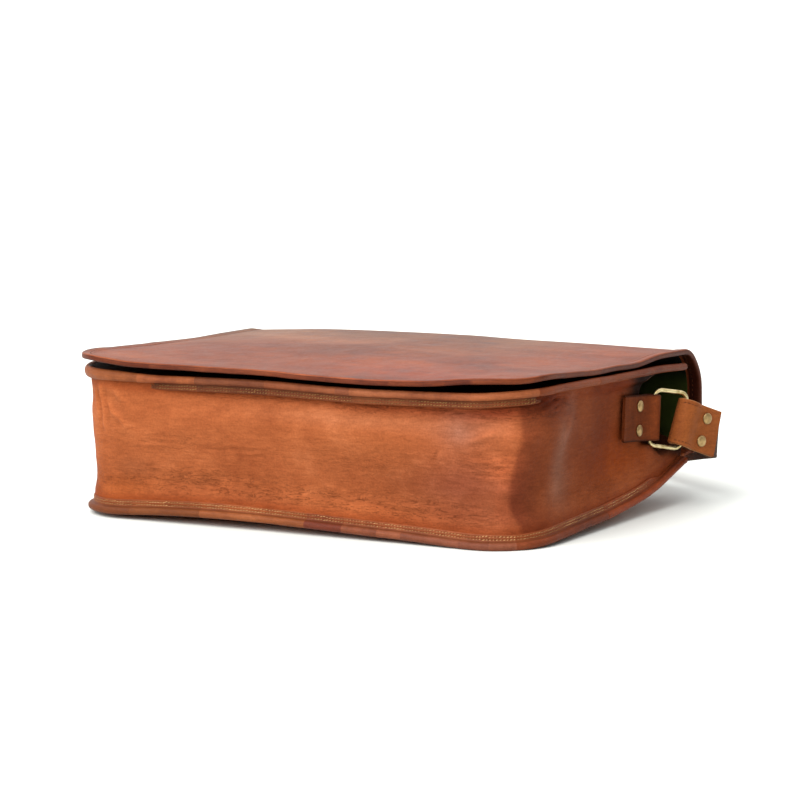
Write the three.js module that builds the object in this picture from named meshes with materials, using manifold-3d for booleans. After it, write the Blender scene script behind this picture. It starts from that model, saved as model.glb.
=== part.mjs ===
// Full-flap laptop messenger bag of bound leather, lying on its back panel.
// Millimetres, +Z up. X runs across the bag, -Y to its bottom and +Y to its mouth.
// The origin is on the flat of the back panel, which rests on the ground.

import * as THREE from 'three';
import { mergeVertices } from 'three/addons/utils/BufferGeometryUtils.js';
import Module from 'manifold-3d';

const wasm = await Module();
wasm.setup();

// Driving dimensions
const WIDTH = 393;
const BOTTOM_Y = -140;
const MOUTH_Y = 114;
const CORNER_R = 43;
const GAP = 0.3;

// Leather and cloth
const GUSSET_T = 1.8;
const PANEL_T = 2.2;
const FLAP_T = 2.5;
const LINING_T = 1.0;

// Bound edges: a roll outside the seam and a stitched flange on the gusset
const SEAM_N = -0.5;
const ROLL = { inner: -0.2, outer: 5.4, tall: 7.0, round: 1.8, tuck: 0.5 };
const FLANGE = { thick: 1.4, reach: 13, shoulder: 0.6, bevel: 0.4 };
const PANEL_INSET = 1.0;

// Flap and the spine that carries it over the mouth
const SPINE_Y = 143.5;
const SPINE_TOP = { z: 115.5, r: 30, fade: 12 };
const SPINE_FOOT = { y: 121, z: 32, slope: 0.265, r: 18, widening: 8 };
const HEM = { y: 97, half: 192, liftFrom: 18, liftTo: 4 };
const BACK_END_Y = 120;
const FLAP_HALF = 198.5;
const FLAP_FRONT_Y = -148.5;
const FLAP_CORNER_R = 45;
const FLAP_RISE = 4.0;
const FLAP_EDGE = { tall: 5.0, lap: 8.0, proud: 1.8, round: 1.2 };
const EDGE_WAVE_REACH = 60;

// Lining where the side of the mouth shows it
const LINING = { half: 189, endY: 62, across: 6 };

// Strap, its tabs and rings
const STRAP = { width: 35.4, thick: 2.8 };
const BAR_BORE = { tab: 4.0, strap: 5.4 };
const TAB = { width: 35, layer: 2.3, outerLength: 46.5, innerLength: 36, heading: 88, pitch: -5 };
const TAB_PARTING = { from: -18, to: -2, steps: [-18, -13, -8, -4] };
const TAB_BAR = { x: 196.4, y: 63.2, z: 72.3 };
const RING = { wire: 3.2, reach: 26.5, tall: 42.4, cornerR: 5.5, heading: 50, lean: 10, leanTo: 66 };
const TAIL = { heading: 68, pitch: -20, length: 34.5, drop: 1.5 };
const TAIL_PARTING = { from: 0, to: 15, steps: [3, 7, 11, 15] };
const TAB_RIVETS = { u: -23.8, apart: 18.3 };
const TAIL_RIVETS = { u: 19.8, apart: 17.8 };
const RIVET = { headR: 4.4, headTall: 1.9, rim: 0.4, shankR: 1.4, capR: 3.2, capTall: 0.9, clear: 0.3 };

// How finely the soft pieces are divided
const STRAIGHT_STEP = 30;
const CORNER_STEPS = 6;
const SIDE_STEPS = 9;
const ACROSS = 12;
const ROUND_SIDES = 8;
const WIRE_SIDES = 6;
const ROWS = { back: 13, front: 7, hem: 2, foot: 5, top: 7, flat: 8 };
const RING_CORNER_STEPS = 4;
const GUSSET_LEVELS = [0, 0.1, 0.2, 0.32, 0.46, 0.6, 0.74, 0.86, 0.94, 1];
const MERGE_WITHIN = 1e-4;

const HALF = WIDTH / 2;
const STRAIGHT = HALF - CORNER_R;
const ARC = CORNER_R * Math.PI / 2;
const ARC_Y = BOTTOM_Y + CORNER_R;
const SIDE = MOUTH_Y - ARC_Y;
const PATH_END = STRAIGHT + ARC + SIDE;

// Lower and upper edge of the bound body. `s` runs along the outline from the middle of the bottom,
// + to the right.
const EDGE_LEVELS = [
  { s: -430, low: 30.0, top: 108.2 },
  { s: -391, low: 18.5, top: 110.6 },
  { s: -356, low: 11.5, top: 111.4 },
  { s: -306, low: 6.5, top: 112.5 },
  { s: -265, low: 4.5, top: 113.4 },
  { s: -221, low: 2.4, top: 114.2 },
  { s: -187, low: 2.8, top: 113.8 },
  { s: -154, low: 3.2, top: 113.3 },
  { s: -118, low: 5.0, top: 111.6 },
  { s: -76, low: 6.4, top: 112.1 },
  { s: -20, low: 6.2, top: 112.6 },
  { s: 58, low: 3.9, top: 110.9 },
  { s: 100, low: 2.6, top: 111.3 },
  { s: 154, low: 0.2, top: 112.3 },
  { s: 187, low: 0.0, top: 114.2 },
  { s: 221, low: 2.2, top: 114.8 },
  { s: 265, low: 4.5, top: 113.9 },
  { s: 306, low: 6.5, top: 112.5 },
  { s: 356, low: 11.5, top: 111.4 },
  { s: 391, low: 18.5, top: 110.6 },
  { s: 430, low: 30.0, top: 108.2 },
];

// The back panel's flat belly, and its rise towards the mouth
const BACK_RISE = [
  { y: 15, rise: 0 },
  { y: 38, rise: 3.2 },
  { y: 60, rise: 8.6 },
  { y: 73, rise: 12.9 },
  { y: 88, rise: 18.8 },
  { y: 104, rise: 25.6 },
  { y: 121, rise: 32.0 },
];
const HEM_LIFT = FLAP_T + 3 * GAP;
const FRONT_LEVEL = 112;
const FRONT_FALL = 3.3;

// The gusset's slack wave between its two seams, `t` from the back seam to the front seam
const GUSSET_WAVE = [
  { t: 0.0, out: 0 },
  { t: 0.1, out: 0 },
  { t: 0.22, out: -4.2 },
  { t: 0.4, out: -2.2 },
  { t: 0.68, out: 2.6 },
  { t: 0.82, out: 0.4 },
  { t: 0.9, out: -0.8 },
  { t: 1.0, out: 0 },
];

// How much of that wave each stretch of the gusset has
const SLACK = [
  { s: -221, share: 0.35 },
  { s: -150, share: 0.4 },
  { s: -60, share: 0.9 },
  { s: 150, share: 1.0 },
  { s: 221, share: 0.8 },
];

// How far the gusset folds in beside the mouth
const MOUTH_FOLD = [
  { y: -40, depth: 0 },
  { y: 0, depth: 2.0 },
  { y: 44, depth: 7.5 },
  { y: 60, depth: 16.0 },
  { y: 78, depth: 22.0 },
  { y: 95, depth: 28.0 },
  { y: 114, depth: 37.0 },
];

// How much of the gusset's width takes part in that fold, how the wave calms towards it,
// and the flat pad under each strap tab
const FOLD = { foot: 0.16, spread: 0.8, power: 4 };
const CALM = { from: -60, to: 10, share: 0.9 };
const PAD = { y0: 2, y1: 16, y2: 46, y3: 54, t0: 0.24, t1: 0.36, t2: 0.88, t3: 0.94 };

// Waves of the flap's front edge and of its two side edges
const FRONT_WAVE = [
  { x: -200, lift: 4.4 },
  { x: -172, lift: 4.0 },
  { x: -132, lift: 1.0 },
  { x: -69, lift: 0.8 },
  { x: -20, lift: 1.0 },
  { x: 10, lift: 0.2 },
  { x: 45, lift: -1.7 },
  { x: 94, lift: -1.5 },
  { x: 136, lift: 0.4 },
  { x: 168, lift: 3.6 },
  { x: 200, lift: 4.4 },
];
const SIDE_WAVE = [
  { y: -113, right: 3.4, left: 2.4 },
  { y: -54, right: 0.4, left: 0.6 },
  { y: -8, right: -0.7, left: 0.2 },
  { y: 37, right: -0.6, left: -0.4 },
  { y: 70, right: 2.2, left: 0.2 },
  { y: 105, right: 2.0, left: 0.4 },
];

// Crown of the flap along its spine, fading towards its front edge
const CROWN = [
  { x: -200, lift: 0.4 },
  { x: -166, lift: 2.4 },
  { x: -122, lift: 4.6 },
  { x: -57, lift: 5.5 },
  { x: 9, lift: 5.4 },
  { x: 53, lift: 4.2 },
  { x: 118, lift: 3.1 },
  { x: 162, lift: 1.6 },
  { x: 200, lift: 0.0 },
];
const CROWN_FADE = { from: -140, to: 40 };

// The strap behind the bag, from the right ring round to the left one
const STRAP_LOOP = [
  { x: 214, y: 139.5, z: 50 },
  { x: 193, y: 159, z: 45 },
  { x: 132, y: 208, z: 31 },
  { x: 58, y: 272, z: 19.5 },
  { x: -60, y: 362, z: 17.8 },
  { x: -180, y: 420, z: 17.8 },
  { x: -296, y: 398, z: 17.8 },
  { x: -352, y: 310, z: 17.8 },
  { x: -330, y: 222, z: 21 },
  { x: -268, y: 166, z: 34 },
];

// The sharp bend just past the tail, and how many stations the run behind the bag has
const STRAP_BEND = { before: 9, by: new THREE.Vector3(-0.5, 11, -4), steps: 52, uprightAfter: 12 };

const LEATHER = { color: 0xa85a30, roughness: 0.5, metalness: 0 };
const LEATHER_RED = { color: 0x9c4f34, roughness: 0.45, metalness: 0 };
const LEATHER_DARK = { color: 0x7d4023, roughness: 0.5, metalness: 0 };
const CANVAS = { color: 0x1f3316, roughness: 0.95, metalness: 0 };
const BRASS = { color: 0xb9a36a, roughness: 0.35, metalness: 1 };

// Numbers

function radians(degrees) {
  return degrees * Math.PI / 180;
}

function smooth(low, high, at) {
  const f = Math.min(Math.max((at - low) / (high - low), 0), 1);
  return f * f * (3 - 2 * f);
}

// One column of a table at a place in its key column, on a smooth curve through the rows.
function along(table, key, column, at) {
  const last = table.length - 1;
  if (at <= table[0][key]) return table[0][column];
  if (at >= table[last][key]) return table[last][column];
  const i = table.findIndex((row) => row[key] > at) - 1;
  const slope = (j) => {
    const a = table[Math.max(j - 1, 0)];
    const b = table[Math.min(j + 1, last)];
    return (b[column] - a[column]) / (b[key] - a[key]);
  };
  const span = table[i + 1][key] - table[i][key];
  const f = (at - table[i][key]) / span;
  const f2 = f * f;
  const f3 = f2 * f;
  const start = table[i][column] * (2 * f3 - 3 * f2 + 1) + table[i + 1][column] * (3 * f2 - 2 * f3);
  return start + span * (slope(i) * (f3 - 2 * f2 + f) + slope(i + 1) * (f3 - f2));
}

function steps(from, to, count) {
  return Array.from({ length: count + 1 }, (_, i) => from + (to - from) * i / count);
}

// Closed solids from rings and grids of points

function solid(points, faces) {
  const geometry = new THREE.BufferGeometry();
  const places = points.flatMap((p) => [p.x, p.y, p.z]);
  geometry.setAttribute('position', new THREE.Float32BufferAttribute(places, 3));
  let volume = 0;
  const cross = new THREE.Vector3();
  for (const [a, b, c] of faces) {
    volume += points[a].dot(cross.crossVectors(points[b], points[c]));
  }
  const outward = volume < 0 ? faces.map(([a, b, c]) => [a, c, b]) : faces;
  geometry.setIndex(outward.flat());
  geometry.computeVertexNormals();
  return geometry;
}

function quad(a, b, c, d) {
  return [[a, b, c], [a, c, d]];
}

// A wall under a grid of points on its outer face: square to the face, or along one direction.
function wall(grid, thickness, direction = null) {
  const rows = grid.length;
  const columns = grid[0].length;
  const at = (r, c) => grid[Math.min(Math.max(r, 0), rows - 1)][Math.min(Math.max(c, 0), columns - 1)];
  const outer = grid.flat();
  const inner = outer.map((point, i) => {
    if (direction) return point.clone().addScaledVector(direction, thickness);
    const r = Math.floor(i / columns);
    const c = i % columns;
    const down = at(r + 1, c).clone().sub(at(r - 1, c));
    const across = at(r, c + 1).clone().sub(at(r, c - 1));
    return point.clone().addScaledVector(down.cross(across).normalize(), thickness);
  });
  const index = (r, c) => r * columns + c;
  const faces = [];
  const under = outer.length;
  for (let r = 0; r < rows - 1; r += 1) {
    for (let c = 0; c < columns - 1; c += 1) {
      const corners = [index(r, c), index(r, c + 1), index(r + 1, c + 1), index(r + 1, c)];
      faces.push(...quad(...corners));
      faces.push(...quad(...corners.map((i) => i + under).reverse()));
    }
  }
  const rim = [];
  for (let c = 0; c < columns - 1; c += 1) rim.push(index(0, c));
  for (let r = 0; r < rows - 1; r += 1) rim.push(index(r, columns - 1));
  for (let c = columns - 1; c > 0; c -= 1) rim.push(index(rows - 1, c));
  for (let r = rows - 1; r > 0; r -= 1) rim.push(index(r, 0));
  rim.forEach((a, i) => {
    const b = rim[(i + 1) % rim.length];
    faces.push(...quad(b, a, a + under, b + under));
  });
  return solid([...outer, ...inner], faces);
}

// A section carried along stations, each with a point and the two directions of the section's plane.
function sweep(section, stations, closed = false) {
  const size = section.length;
  const points = stations.flatMap(({ point, out, up }) => section.map(
    ([n, z]) => point.clone().addScaledVector(out, n).addScaledVector(up, z),
  ));
  const faces = [];
  const spans = closed ? stations.length : stations.length - 1;
  for (let i = 0; i < spans; i += 1) {
    const here = i * size;
    const next = ((i + 1) % stations.length) * size;
    for (let j = 0; j < size; j += 1) {
      const k = (j + 1) % size;
      faces.push(...quad(here + j, here + k, next + k, next + j));
    }
  }
  if (!closed) {
    const outline = section.map(([n, z]) => new THREE.Vector2(n, z));
    const end = (stations.length - 1) * size;
    for (const [a, b, c] of THREE.ShapeUtils.triangulateShape(outline, [])) {
      const turned = THREE.ShapeUtils.isClockWise(outline) ? [a, b, c] : [a, c, b];
      faces.push(turned);
      faces.push([end + turned[0], end + turned[2], end + turned[1]]);
    }
  }
  return solid(points, faces);
}

// Cuts and mirror images

function toManifold(geometry) {
  const bare = geometry.clone();
  bare.deleteAttribute('normal');
  bare.deleteAttribute('uv');
  const merged = mergeVertices(bare, MERGE_WITHIN);
  return new wasm.Manifold(new wasm.Mesh({
    numProp: 3,
    vertProperties: Float32Array.from(merged.attributes.position.array),
    triVerts: Uint32Array.from(merged.index.array),
  }));
}

function cut(geometry, tools) {
  const left = tools.reduce((body, tool) => body.subtract(toManifold(tool)), toManifold(geometry));
  const { vertProperties, triVerts } = left.getMesh();
  const result = new THREE.BufferGeometry();
  result.setAttribute('position', new THREE.Float32BufferAttribute(vertProperties, 3));
  result.setIndex(Array.from(triVerts));
  result.computeVertexNormals();
  return result;
}

function mirrored(geometry) {
  const copy = geometry.index ? geometry.toNonIndexed() : geometry.clone();
  const position = copy.attributes.position;
  for (let i = 0; i < position.count; i += 3) {
    const corners = [0, 2, 1].map((j) => new THREE.Vector3().fromBufferAttribute(position, i + j));
    corners.forEach((p, j) => position.setXYZ(i + j, -p.x, p.y, p.z));
  }
  copy.computeVertexNormals();
  return copy;
}

// The body's outline seen from above: a U, open at the mouth

function outline(s) {
  const side = s < 0 ? -1 : 1;
  const d = Math.abs(s);
  if (d < STRAIGHT) return { x: s, y: BOTTOM_Y, nx: 0, ny: -1 };
  if (d < STRAIGHT + ARC) {
    const turn = (d - STRAIGHT) / CORNER_R;
    const nx = side * Math.sin(turn);
    const ny = -Math.cos(turn);
    return { x: side * STRAIGHT + CORNER_R * nx, y: ARC_Y + CORNER_R * ny, nx, ny };
  }
  return { x: side * HALF, y: ARC_Y + d - STRAIGHT - ARC, nx: side, ny: 0 };
}

function outlineStops() {
  const bottom = steps(-STRAIGHT, STRAIGHT, Math.round(2 * STRAIGHT / STRAIGHT_STEP));
  const corner = steps(STRAIGHT, STRAIGHT + ARC, CORNER_STEPS).slice(1);
  const side = steps(STRAIGHT + ARC, PATH_END, SIDE_STEPS).slice(1);
  const right = [...corner, ...side];
  return [...right.map((s) => -s).reverse(), ...bottom, ...right];
}

// Half width of a panel with rounded corners, a distance in from its rounded edge.
function roundedHalf(half, radius, inset) {
  if (inset >= radius) return half;
  const short = radius - Math.max(inset, 0);
  return half - radius + Math.sqrt(radius * radius - short * short);
}

// Rows of a panel from its rounded edge inwards, close together round the corners.
function roundedRows(edge, radius, end, count) {
  const sign = Math.sign(end - edge);
  const corner = steps(0, Math.PI / 2, CORNER_STEPS).map((a) => edge + sign * radius * (1 - Math.cos(a)));
  return [...corner, ...steps(edge + sign * radius, end, count).slice(1)];
}

// Path length on the outline of the edge point next to a place on a panel.
function nearestStop(x, y) {
  const side = x < 0 ? -1 : 1;
  const dx = Math.abs(x) - STRAIGHT;
  const dy = ARC_Y - y;
  if (dy <= 0) {
    const toSide = HALF - Math.abs(x);
    const toBottom = y - BOTTOM_Y;
    if (toSide < toBottom) return side * (STRAIGHT + ARC - dy);
    return x * STRAIGHT / HALF;
  }
  if (dx <= 0) return x;
  return side * (STRAIGHT + CORNER_R * Math.atan2(dx, dy));
}

function edgeDistance(x, y) {
  const dx = Math.abs(x) - STRAIGHT;
  const dy = ARC_Y - y;
  if (dx > 0 && dy > 0) return CORNER_R - Math.hypot(dx, dy);
  return Math.min(HALF - Math.abs(x), y - BOTTOM_Y);
}

// Body walls

function lowEdge(s) {
  return Math.max(along(EDGE_LEVELS, 's', 'low', s), 0);
}

function topEdge(s) {
  return along(EDGE_LEVELS, 's', 'top', s);
}

function hemLift(y) {
  return HEM_LIFT * smooth(HEM.y - HEM.liftFrom, HEM.y - HEM.liftTo, y);
}

// A panel's level: the edge's own along its seam, easing to the middle's a corner radius in.
function eased(edge, middle, x, y) {
  return middle + (edge - middle) * (1 - smooth(0, CORNER_R, edgeDistance(x, y)));
}

function backLevel(x, y) {
  const rise = along(BACK_RISE, 'y', 'rise', y);
  const edge = Math.max(lowEdge(nearestStop(x, y)) + PANEL_INSET, rise);
  return eased(edge, rise, x, y) + hemLift(y);
}

function frontLevel(x, y) {
  const middle = FRONT_LEVEL - FRONT_FALL * smooth(0, MOUTH_Y, y);
  return eased(topEdge(nearestStop(x, y)) - PANEL_INSET, middle - PANEL_INSET, x, y);
}

function panel(level, endY, rowCount, thickness, direction) {
  const edgeY = BOTTOM_Y - SEAM_N;
  const grid = roundedRows(edgeY, CORNER_R, endY, rowCount).map((y) => {
    const reach = roundedHalf(HALF + SEAM_N, CORNER_R, y - edgeY);
    return steps(reach, -reach, ACROSS).map((x) => new THREE.Vector3(x, y, level(x, y)));
  });
  return wall(grid, thickness, direction);
}

function gussetOut(s, t, y) {
  const wave = along(GUSSET_WAVE, 't', 'out', t) * along(SLACK, 's', 'share', s);
  if (Math.abs(s) < STRAIGHT + ARC) return SEAM_N + wave;
  const calm = 1 - CALM.share * smooth(CALM.from, CALM.to, y);
  const lift = Math.max(t - FOLD.foot, 0) / (1 - FOLD.foot);
  const fold = 1 - Math.min(Math.abs(2 * lift - 1) / FOLD.spread, 1) ** FOLD.power;
  const slack = SEAM_N + wave * calm - along(MOUTH_FOLD, 'y', 'depth', y) * fold;
  const under = Math.min(smooth(PAD.y0, PAD.y1, y), 1 - smooth(PAD.y2, PAD.y3, y));
  const beside = Math.min(smooth(PAD.t0, PAD.t1, t), 1 - smooth(PAD.t2, PAD.t3, t));
  const tabIn = (TAB_BAR.y - y) * Math.tan(radians(90 - TAB.heading)) + TAB.layer + 1.5 * GAP;
  const pad = TAB_BAR.x - HALF - tabIn;
  return slack + (pad - slack) * under * beside;
}

function gusset() {
  const grid = GUSSET_LEVELS.map((t) => outlineStops().map((s) => {
    const { x, y, nx, ny } = outline(s);
    const low = lowEdge(s) + PANEL_INSET + PANEL_T + 2 * GAP + hemLift(y);
    const top = topEdge(s) - PANEL_INSET - PANEL_T - 2 * GAP;
    const out = gussetOut(s, t, y);
    return new THREE.Vector3(x + nx * out, y + ny * out, low + (top - low) * t);
  }));
  return wall(grid, GUSSET_T);
}

// Bound edges

function rollSection(sign) {
  const { inner, outer, tall, round, tuck } = ROLL;
  const profile = [
    [inner, tuck],
    [inner + round, 0],
    [outer - round, 0],
    [outer, round],
    [outer, tall - round],
    [outer - round, tall],
    [inner + FLANGE.thick, tall + FLANGE.shoulder],
    [inner + FLANGE.thick, FLANGE.reach - FLANGE.bevel],
    [inner, FLANGE.reach],
  ];
  return profile.map(([n, z]) => [n, sign * z]);
}

function edgeBinding(level, sign) {
  const up = new THREE.Vector3(0, 0, 1);
  const stations = outlineStops().map((s) => {
    const { x, y, nx, ny } = outline(s);
    return { point: new THREE.Vector3(x, y, level(s)), out: new THREE.Vector3(nx, ny, 0), up };
  });
  return sweep(rollSection(sign), stations);
}

// Flap: one sheet from its hem under the back panel, up the spine and over the front

function profileArc(y, z, radius, from, to, count) {
  return steps(from, to, count).map((a) => ({ y: y + radius * Math.cos(a), z: z + radius * Math.sin(a) }));
}

function flapProfile() {
  const { y, z, slope, r } = SPINE_FOOT;
  const tilt = Math.atan(slope);
  const footY = SPINE_Y - r;
  const startY = footY + r * Math.sin(tilt);
  const footZ = z + (startY - y) * slope + r * Math.cos(tilt);
  const foot = profileArc(footY, footZ, r, tilt - Math.PI / 2, 0, ROWS.foot);
  const topY = SPINE_Y - SPINE_TOP.r;
  const topZ = SPINE_TOP.z - SPINE_TOP.r;
  const top = profileArc(topY, topZ, SPINE_TOP.r, 0, Math.PI / 2, ROWS.top);
  const hem = steps(HEM.y, y, ROWS.hem).map((at) => ({ y: at, z: along(BACK_RISE, 'y', 'rise', at) }));
  const flat = steps(topY, FLAP_FRONT_Y + FLAP_CORNER_R, ROWS.flat).slice(1)
    .map((at) => ({ y: at, z: SPINE_TOP.z }));
  const corner = steps(Math.PI / 2, 0, CORNER_STEPS).slice(1).map((a) => (
    { y: FLAP_FRONT_Y + FLAP_CORNER_R * (1 - Math.cos(a)), z: SPINE_TOP.z }
  ));
  return {
    all: [...hem, ...foot, ...top, ...flat, ...corner],
    free: [...foot.slice(1), ...top, ...flat, ...corner],
    lined: [...foot.slice(2), ...top, ...flat.filter((p) => p.y > LINING.endY)],
  };
}

function flapHalf(y, z) {
  const front = roundedHalf(FLAP_HALF, FLAP_CORNER_R, y - FLAP_FRONT_Y);
  const aboveHem = smooth(SPINE_FOOT.z, SPINE_FOOT.z + SPINE_FOOT.widening, z);
  return HEM.half + (front - HEM.half) * aboveHem;
}

function flapLevel(x, y, z) {
  const onTop = smooth(SPINE_TOP.z - SPINE_TOP.fade, SPINE_TOP.z, z);
  const rise = FLAP_RISE * (SPINE_Y - SPINE_TOP.r - y) / (SPINE_Y - SPINE_TOP.r - FLAP_FRONT_Y);
  const front = along(FRONT_WAVE, 'x', 'lift', x) * Math.exp(-(y - FLAP_FRONT_Y) / EDGE_WAVE_REACH);
  const edge = along(SIDE_WAVE, 'y', x > 0 ? 'right' : 'left', y);
  const inset = Math.max(FLAP_HALF - Math.abs(x), 0);
  const awayFromFront = smooth(FLAP_FRONT_Y, FLAP_FRONT_Y + EDGE_WAVE_REACH, y);
  const side = edge * Math.exp(-inset / EDGE_WAVE_REACH) * awayFromFront;
  const crown = along(CROWN, 'x', 'lift', x) * smooth(CROWN_FADE.from, CROWN_FADE.to, y);
  return z + onTop * (Math.max(rise, 0) + front + side + crown);
}

function flapPoint(x, { y, z }) {
  return new THREE.Vector3(x, y, flapLevel(x, y, z));
}

function flap() {
  const grid = flapProfile().all.map((row) => {
    const half = flapHalf(row.y, row.z);
    return steps(half, -half, ACROSS).map((x) => flapPoint(x, row));
  });
  return wall(grid, FLAP_T);
}

// The sheet's outward normal at a place on one of its rows.
function flapNormal(x, rows, i) {
  const before = flapPoint(x, rows[Math.max(i - 1, 0)]);
  const after = flapPoint(x, rows[Math.min(i + 1, rows.length - 1)]);
  const across = flapPoint(x + 1, rows[i]).sub(flapPoint(x - 1, rows[i]));
  return across.cross(after.sub(before)).negate().normalize();
}

function flapStation(x, rows, i, away) {
  const up = flapNormal(x, rows, i);
  const out = away.clone().addScaledVector(up, -away.dot(up)).normalize();
  return { point: flapPoint(x, rows[i]), out, up };
}

function flapEdge() {
  const rows = flapProfile().free;
  const last = rows.length - 1;
  const halves = rows.map((row) => flapHalf(row.y, row.z));
  const side = (sign) => rows.map((row, i) => {
    const turn = Math.asin(Math.min(Math.max((FLAP_FRONT_Y + FLAP_CORNER_R - row.y) / FLAP_CORNER_R, 0), 1));
    const away = new THREE.Vector3(sign * Math.cos(turn), -Math.sin(turn), 0);
    return flapStation(sign * halves[i], rows, i, away);
  });
  const frontward = new THREE.Vector3(0, -1, 0);
  const front = steps(halves[last], -halves[last], ACROSS).slice(1, -1)
    .map((x) => flapStation(x, rows, last, frontward));
  const half = FLAP_EDGE.tall / 2;
  const slot = FLAP_T / 2 + 1.5 * GAP;
  const { lap, proud, round } = FLAP_EDGE;
  const section = [
    [-lap, half],
    [proud - round, half],
    [proud, half - round],
    [proud, round - half],
    [proud - round, -half],
    [-lap, -half],
    [-lap, -slot],
    [GAP, -slot],
    [GAP, slot],
    [-lap, slot],
  ].map(([n, z]) => [n, z - FLAP_T / 2]);
  return sweep(section, [...side(1), ...front, ...side(-1).reverse()]);
}

function lining() {
  const rows = flapProfile().lined;
  const depth = FLAP_T + 2 * GAP;
  const grid = rows.map((row, i) => steps(LINING.half, -LINING.half, LINING.across).map(
    (x) => flapPoint(x, row).addScaledVector(flapNormal(x, rows, i), -depth),
  ));
  return wall(grid, LINING_T);
}

// Strap hardware of the right side, mirrored for the left

function directions(heading, pitch) {
  const turn = radians(heading);
  const dip = radians(pitch);
  const flat = new THREE.Vector3(Math.cos(turn), Math.sin(turn), 0);
  const ahead = flat.clone().multiplyScalar(Math.cos(dip)).setZ(Math.sin(dip));
  const up = flat.clone().multiplyScalar(-Math.sin(dip)).setZ(Math.cos(dip));
  return { ahead, up, out: new THREE.Vector3().crossVectors(ahead, up) };
}

const tabBar = new THREE.Vector3(TAB_BAR.x, TAB_BAR.y, TAB_BAR.z);
const tabAxes = directions(TAB.heading, TAB.pitch);
const tailAxes = directions(TAIL.heading, TAIL.pitch);
const ringAxes = leaningAxes(RING.heading, RING.lean, RING.leanTo);
const tailBar = tabBar.clone()
  .addScaledVector(ringAxes.ahead, RING.reach)
  .addScaledVector(ringAxes.up, -TAIL.drop);

// Axes of a piece whose upright leans towards one heading while it faces another.
function leaningAxes(heading, lean, leanTo) {
  const up = directions(leanTo, -lean).up;
  const flat = directions(heading, 0).ahead;
  const ahead = flat.addScaledVector(up, -flat.dot(up)).normalize();
  return { ahead, up, out: new THREE.Vector3().crossVectors(ahead, up) };
}

// The tab's section: two layers that part round the ring's bar and meet at the rivets.
function strapTab() {
  const slit = GAP / 2;
  const parting = (u) => slit + (BAR_BORE.tab - slit) * smooth(TAB_PARTING.from, TAB_PARTING.to, u);
  const outside = [-TAB.outerLength, -TAB.innerLength, ...TAB_PARTING.steps];
  const inside = outside.slice(1);
  const bend = steps(-Math.PI / 2, Math.PI / 2, ROUND_SIDES);
  const round = (radius) => bend.map((a) => [radius * Math.cos(a), radius * Math.sin(a)]);
  const corners = [
    ...inside.map((u) => [u, -parting(u) - TAB.layer]),
    ...round(BAR_BORE.tab + TAB.layer),
    ...outside.map((u) => [u, parting(u) + TAB.layer]).reverse(),
    ...outside.map((u) => [u, parting(u)]),
    ...round(BAR_BORE.tab).reverse(),
    ...inside.map((u) => [u, -parting(u)]).reverse(),
  ];
  const shape = new THREE.Shape(corners.map(([u, n]) => new THREE.Vector2(u, n)));
  const geometry = new THREE.ExtrudeGeometry(shape, { depth: TAB.width, bevelEnabled: false });
  const { ahead, up, out } = tabAxes;
  const frame = new THREE.Matrix4().makeBasis(ahead, out, up.clone().negate()).setPosition(tabBar);
  geometry.translate(0, 0, -TAB.width / 2).applyMatrix4(frame);
  return cut(geometry, rivetHoles(tabRivets()));
}

function ring() {
  const { wire, reach, tall, cornerR } = RING;
  const { ahead, up, out } = ringAxes;
  const middle = tabBar.clone().addScaledVector(ahead, reach / 2);
  const quarter = Math.PI / 2;
  const corners = [[1, 1], [-1, 1], [-1, -1], [1, -1]];
  const stations = corners.flatMap(([h, v], i) => {
    const turns = steps(i * quarter, (i + 1) * quarter, RING_CORNER_STEPS);
    return turns.map((a) => {
      const radial = ahead.clone().multiplyScalar(Math.cos(a)).addScaledVector(up, Math.sin(a));
      const point = middle.clone()
        .addScaledVector(ahead, h * (reach / 2 - cornerR))
        .addScaledVector(up, v * (tall / 2 - cornerR))
        .addScaledVector(radial, cornerR);
      return { point, out: radial, up: out };
    });
  });
  const section = steps(0, 2 * Math.PI, WIRE_SIDES).slice(1)
    .map((a) => [wire / 2 * Math.cos(a), wire / 2 * Math.sin(a)]);
  return sweep(section, stations, true);
}

// Rivets in pairs: the place of each on its piece, its axis, and what it grips on each side of the slit

function rivetPair(bar, axes, { u, apart }, above, below) {
  return [1, -1].map((v) => ({
    at: bar.clone().addScaledVector(axes.ahead, u).addScaledVector(axes.up, v * apart / 2),
    axis: axes.out,
    above,
    below,
  }));
}

function tabRivets() {
  const layer = TAB.layer + GAP / 2;
  return rivetPair(tabBar, tabAxes, TAB_RIVETS, layer, layer + 2 * GAP + GUSSET_T);
}

function tailRivets() {
  const layer = STRAP.thick + GAP / 2;
  return rivetPair(tailBar, tailAxes, TAIL_RIVETS, layer, layer);
}

function turnedTo({ at, axis }, geometry) {
  const turn = new THREE.Quaternion().setFromUnitVectors(new THREE.Vector3(0, 1, 0), axis);
  return geometry.applyQuaternion(turn).translate(at.x, at.y, at.z);
}

function rivet(place) {
  const { headR, headTall, rim, shankR, capR, capTall } = RIVET;
  const head = place.above + GAP;
  const foot = -place.below - GAP;
  const profile = [
    [0, foot - capTall],
    [capR, foot - capTall],
    [capR, foot],
    [shankR, foot],
    [shankR, head],
    [headR, head],
    [headR, head + rim],
    [headR * Math.SQRT1_2, head + rim + (headTall - rim) * Math.SQRT1_2],
    [0, head + headTall],
  ].map(([r, y]) => new THREE.Vector2(r, y));
  return turnedTo(place, new THREE.LatheGeometry(profile, ROUND_SIDES));
}

function rivetHoles(places) {
  return places.map((place) => {
    const radius = RIVET.shankR + RIVET.clear;
    const length = 2 * (place.above + place.below + RIVET.headTall);
    return turnedTo(place, new THREE.CylinderGeometry(radius, radius, length, ROUND_SIDES));
  });
}

// Strap: one band from tail to tail

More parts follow.
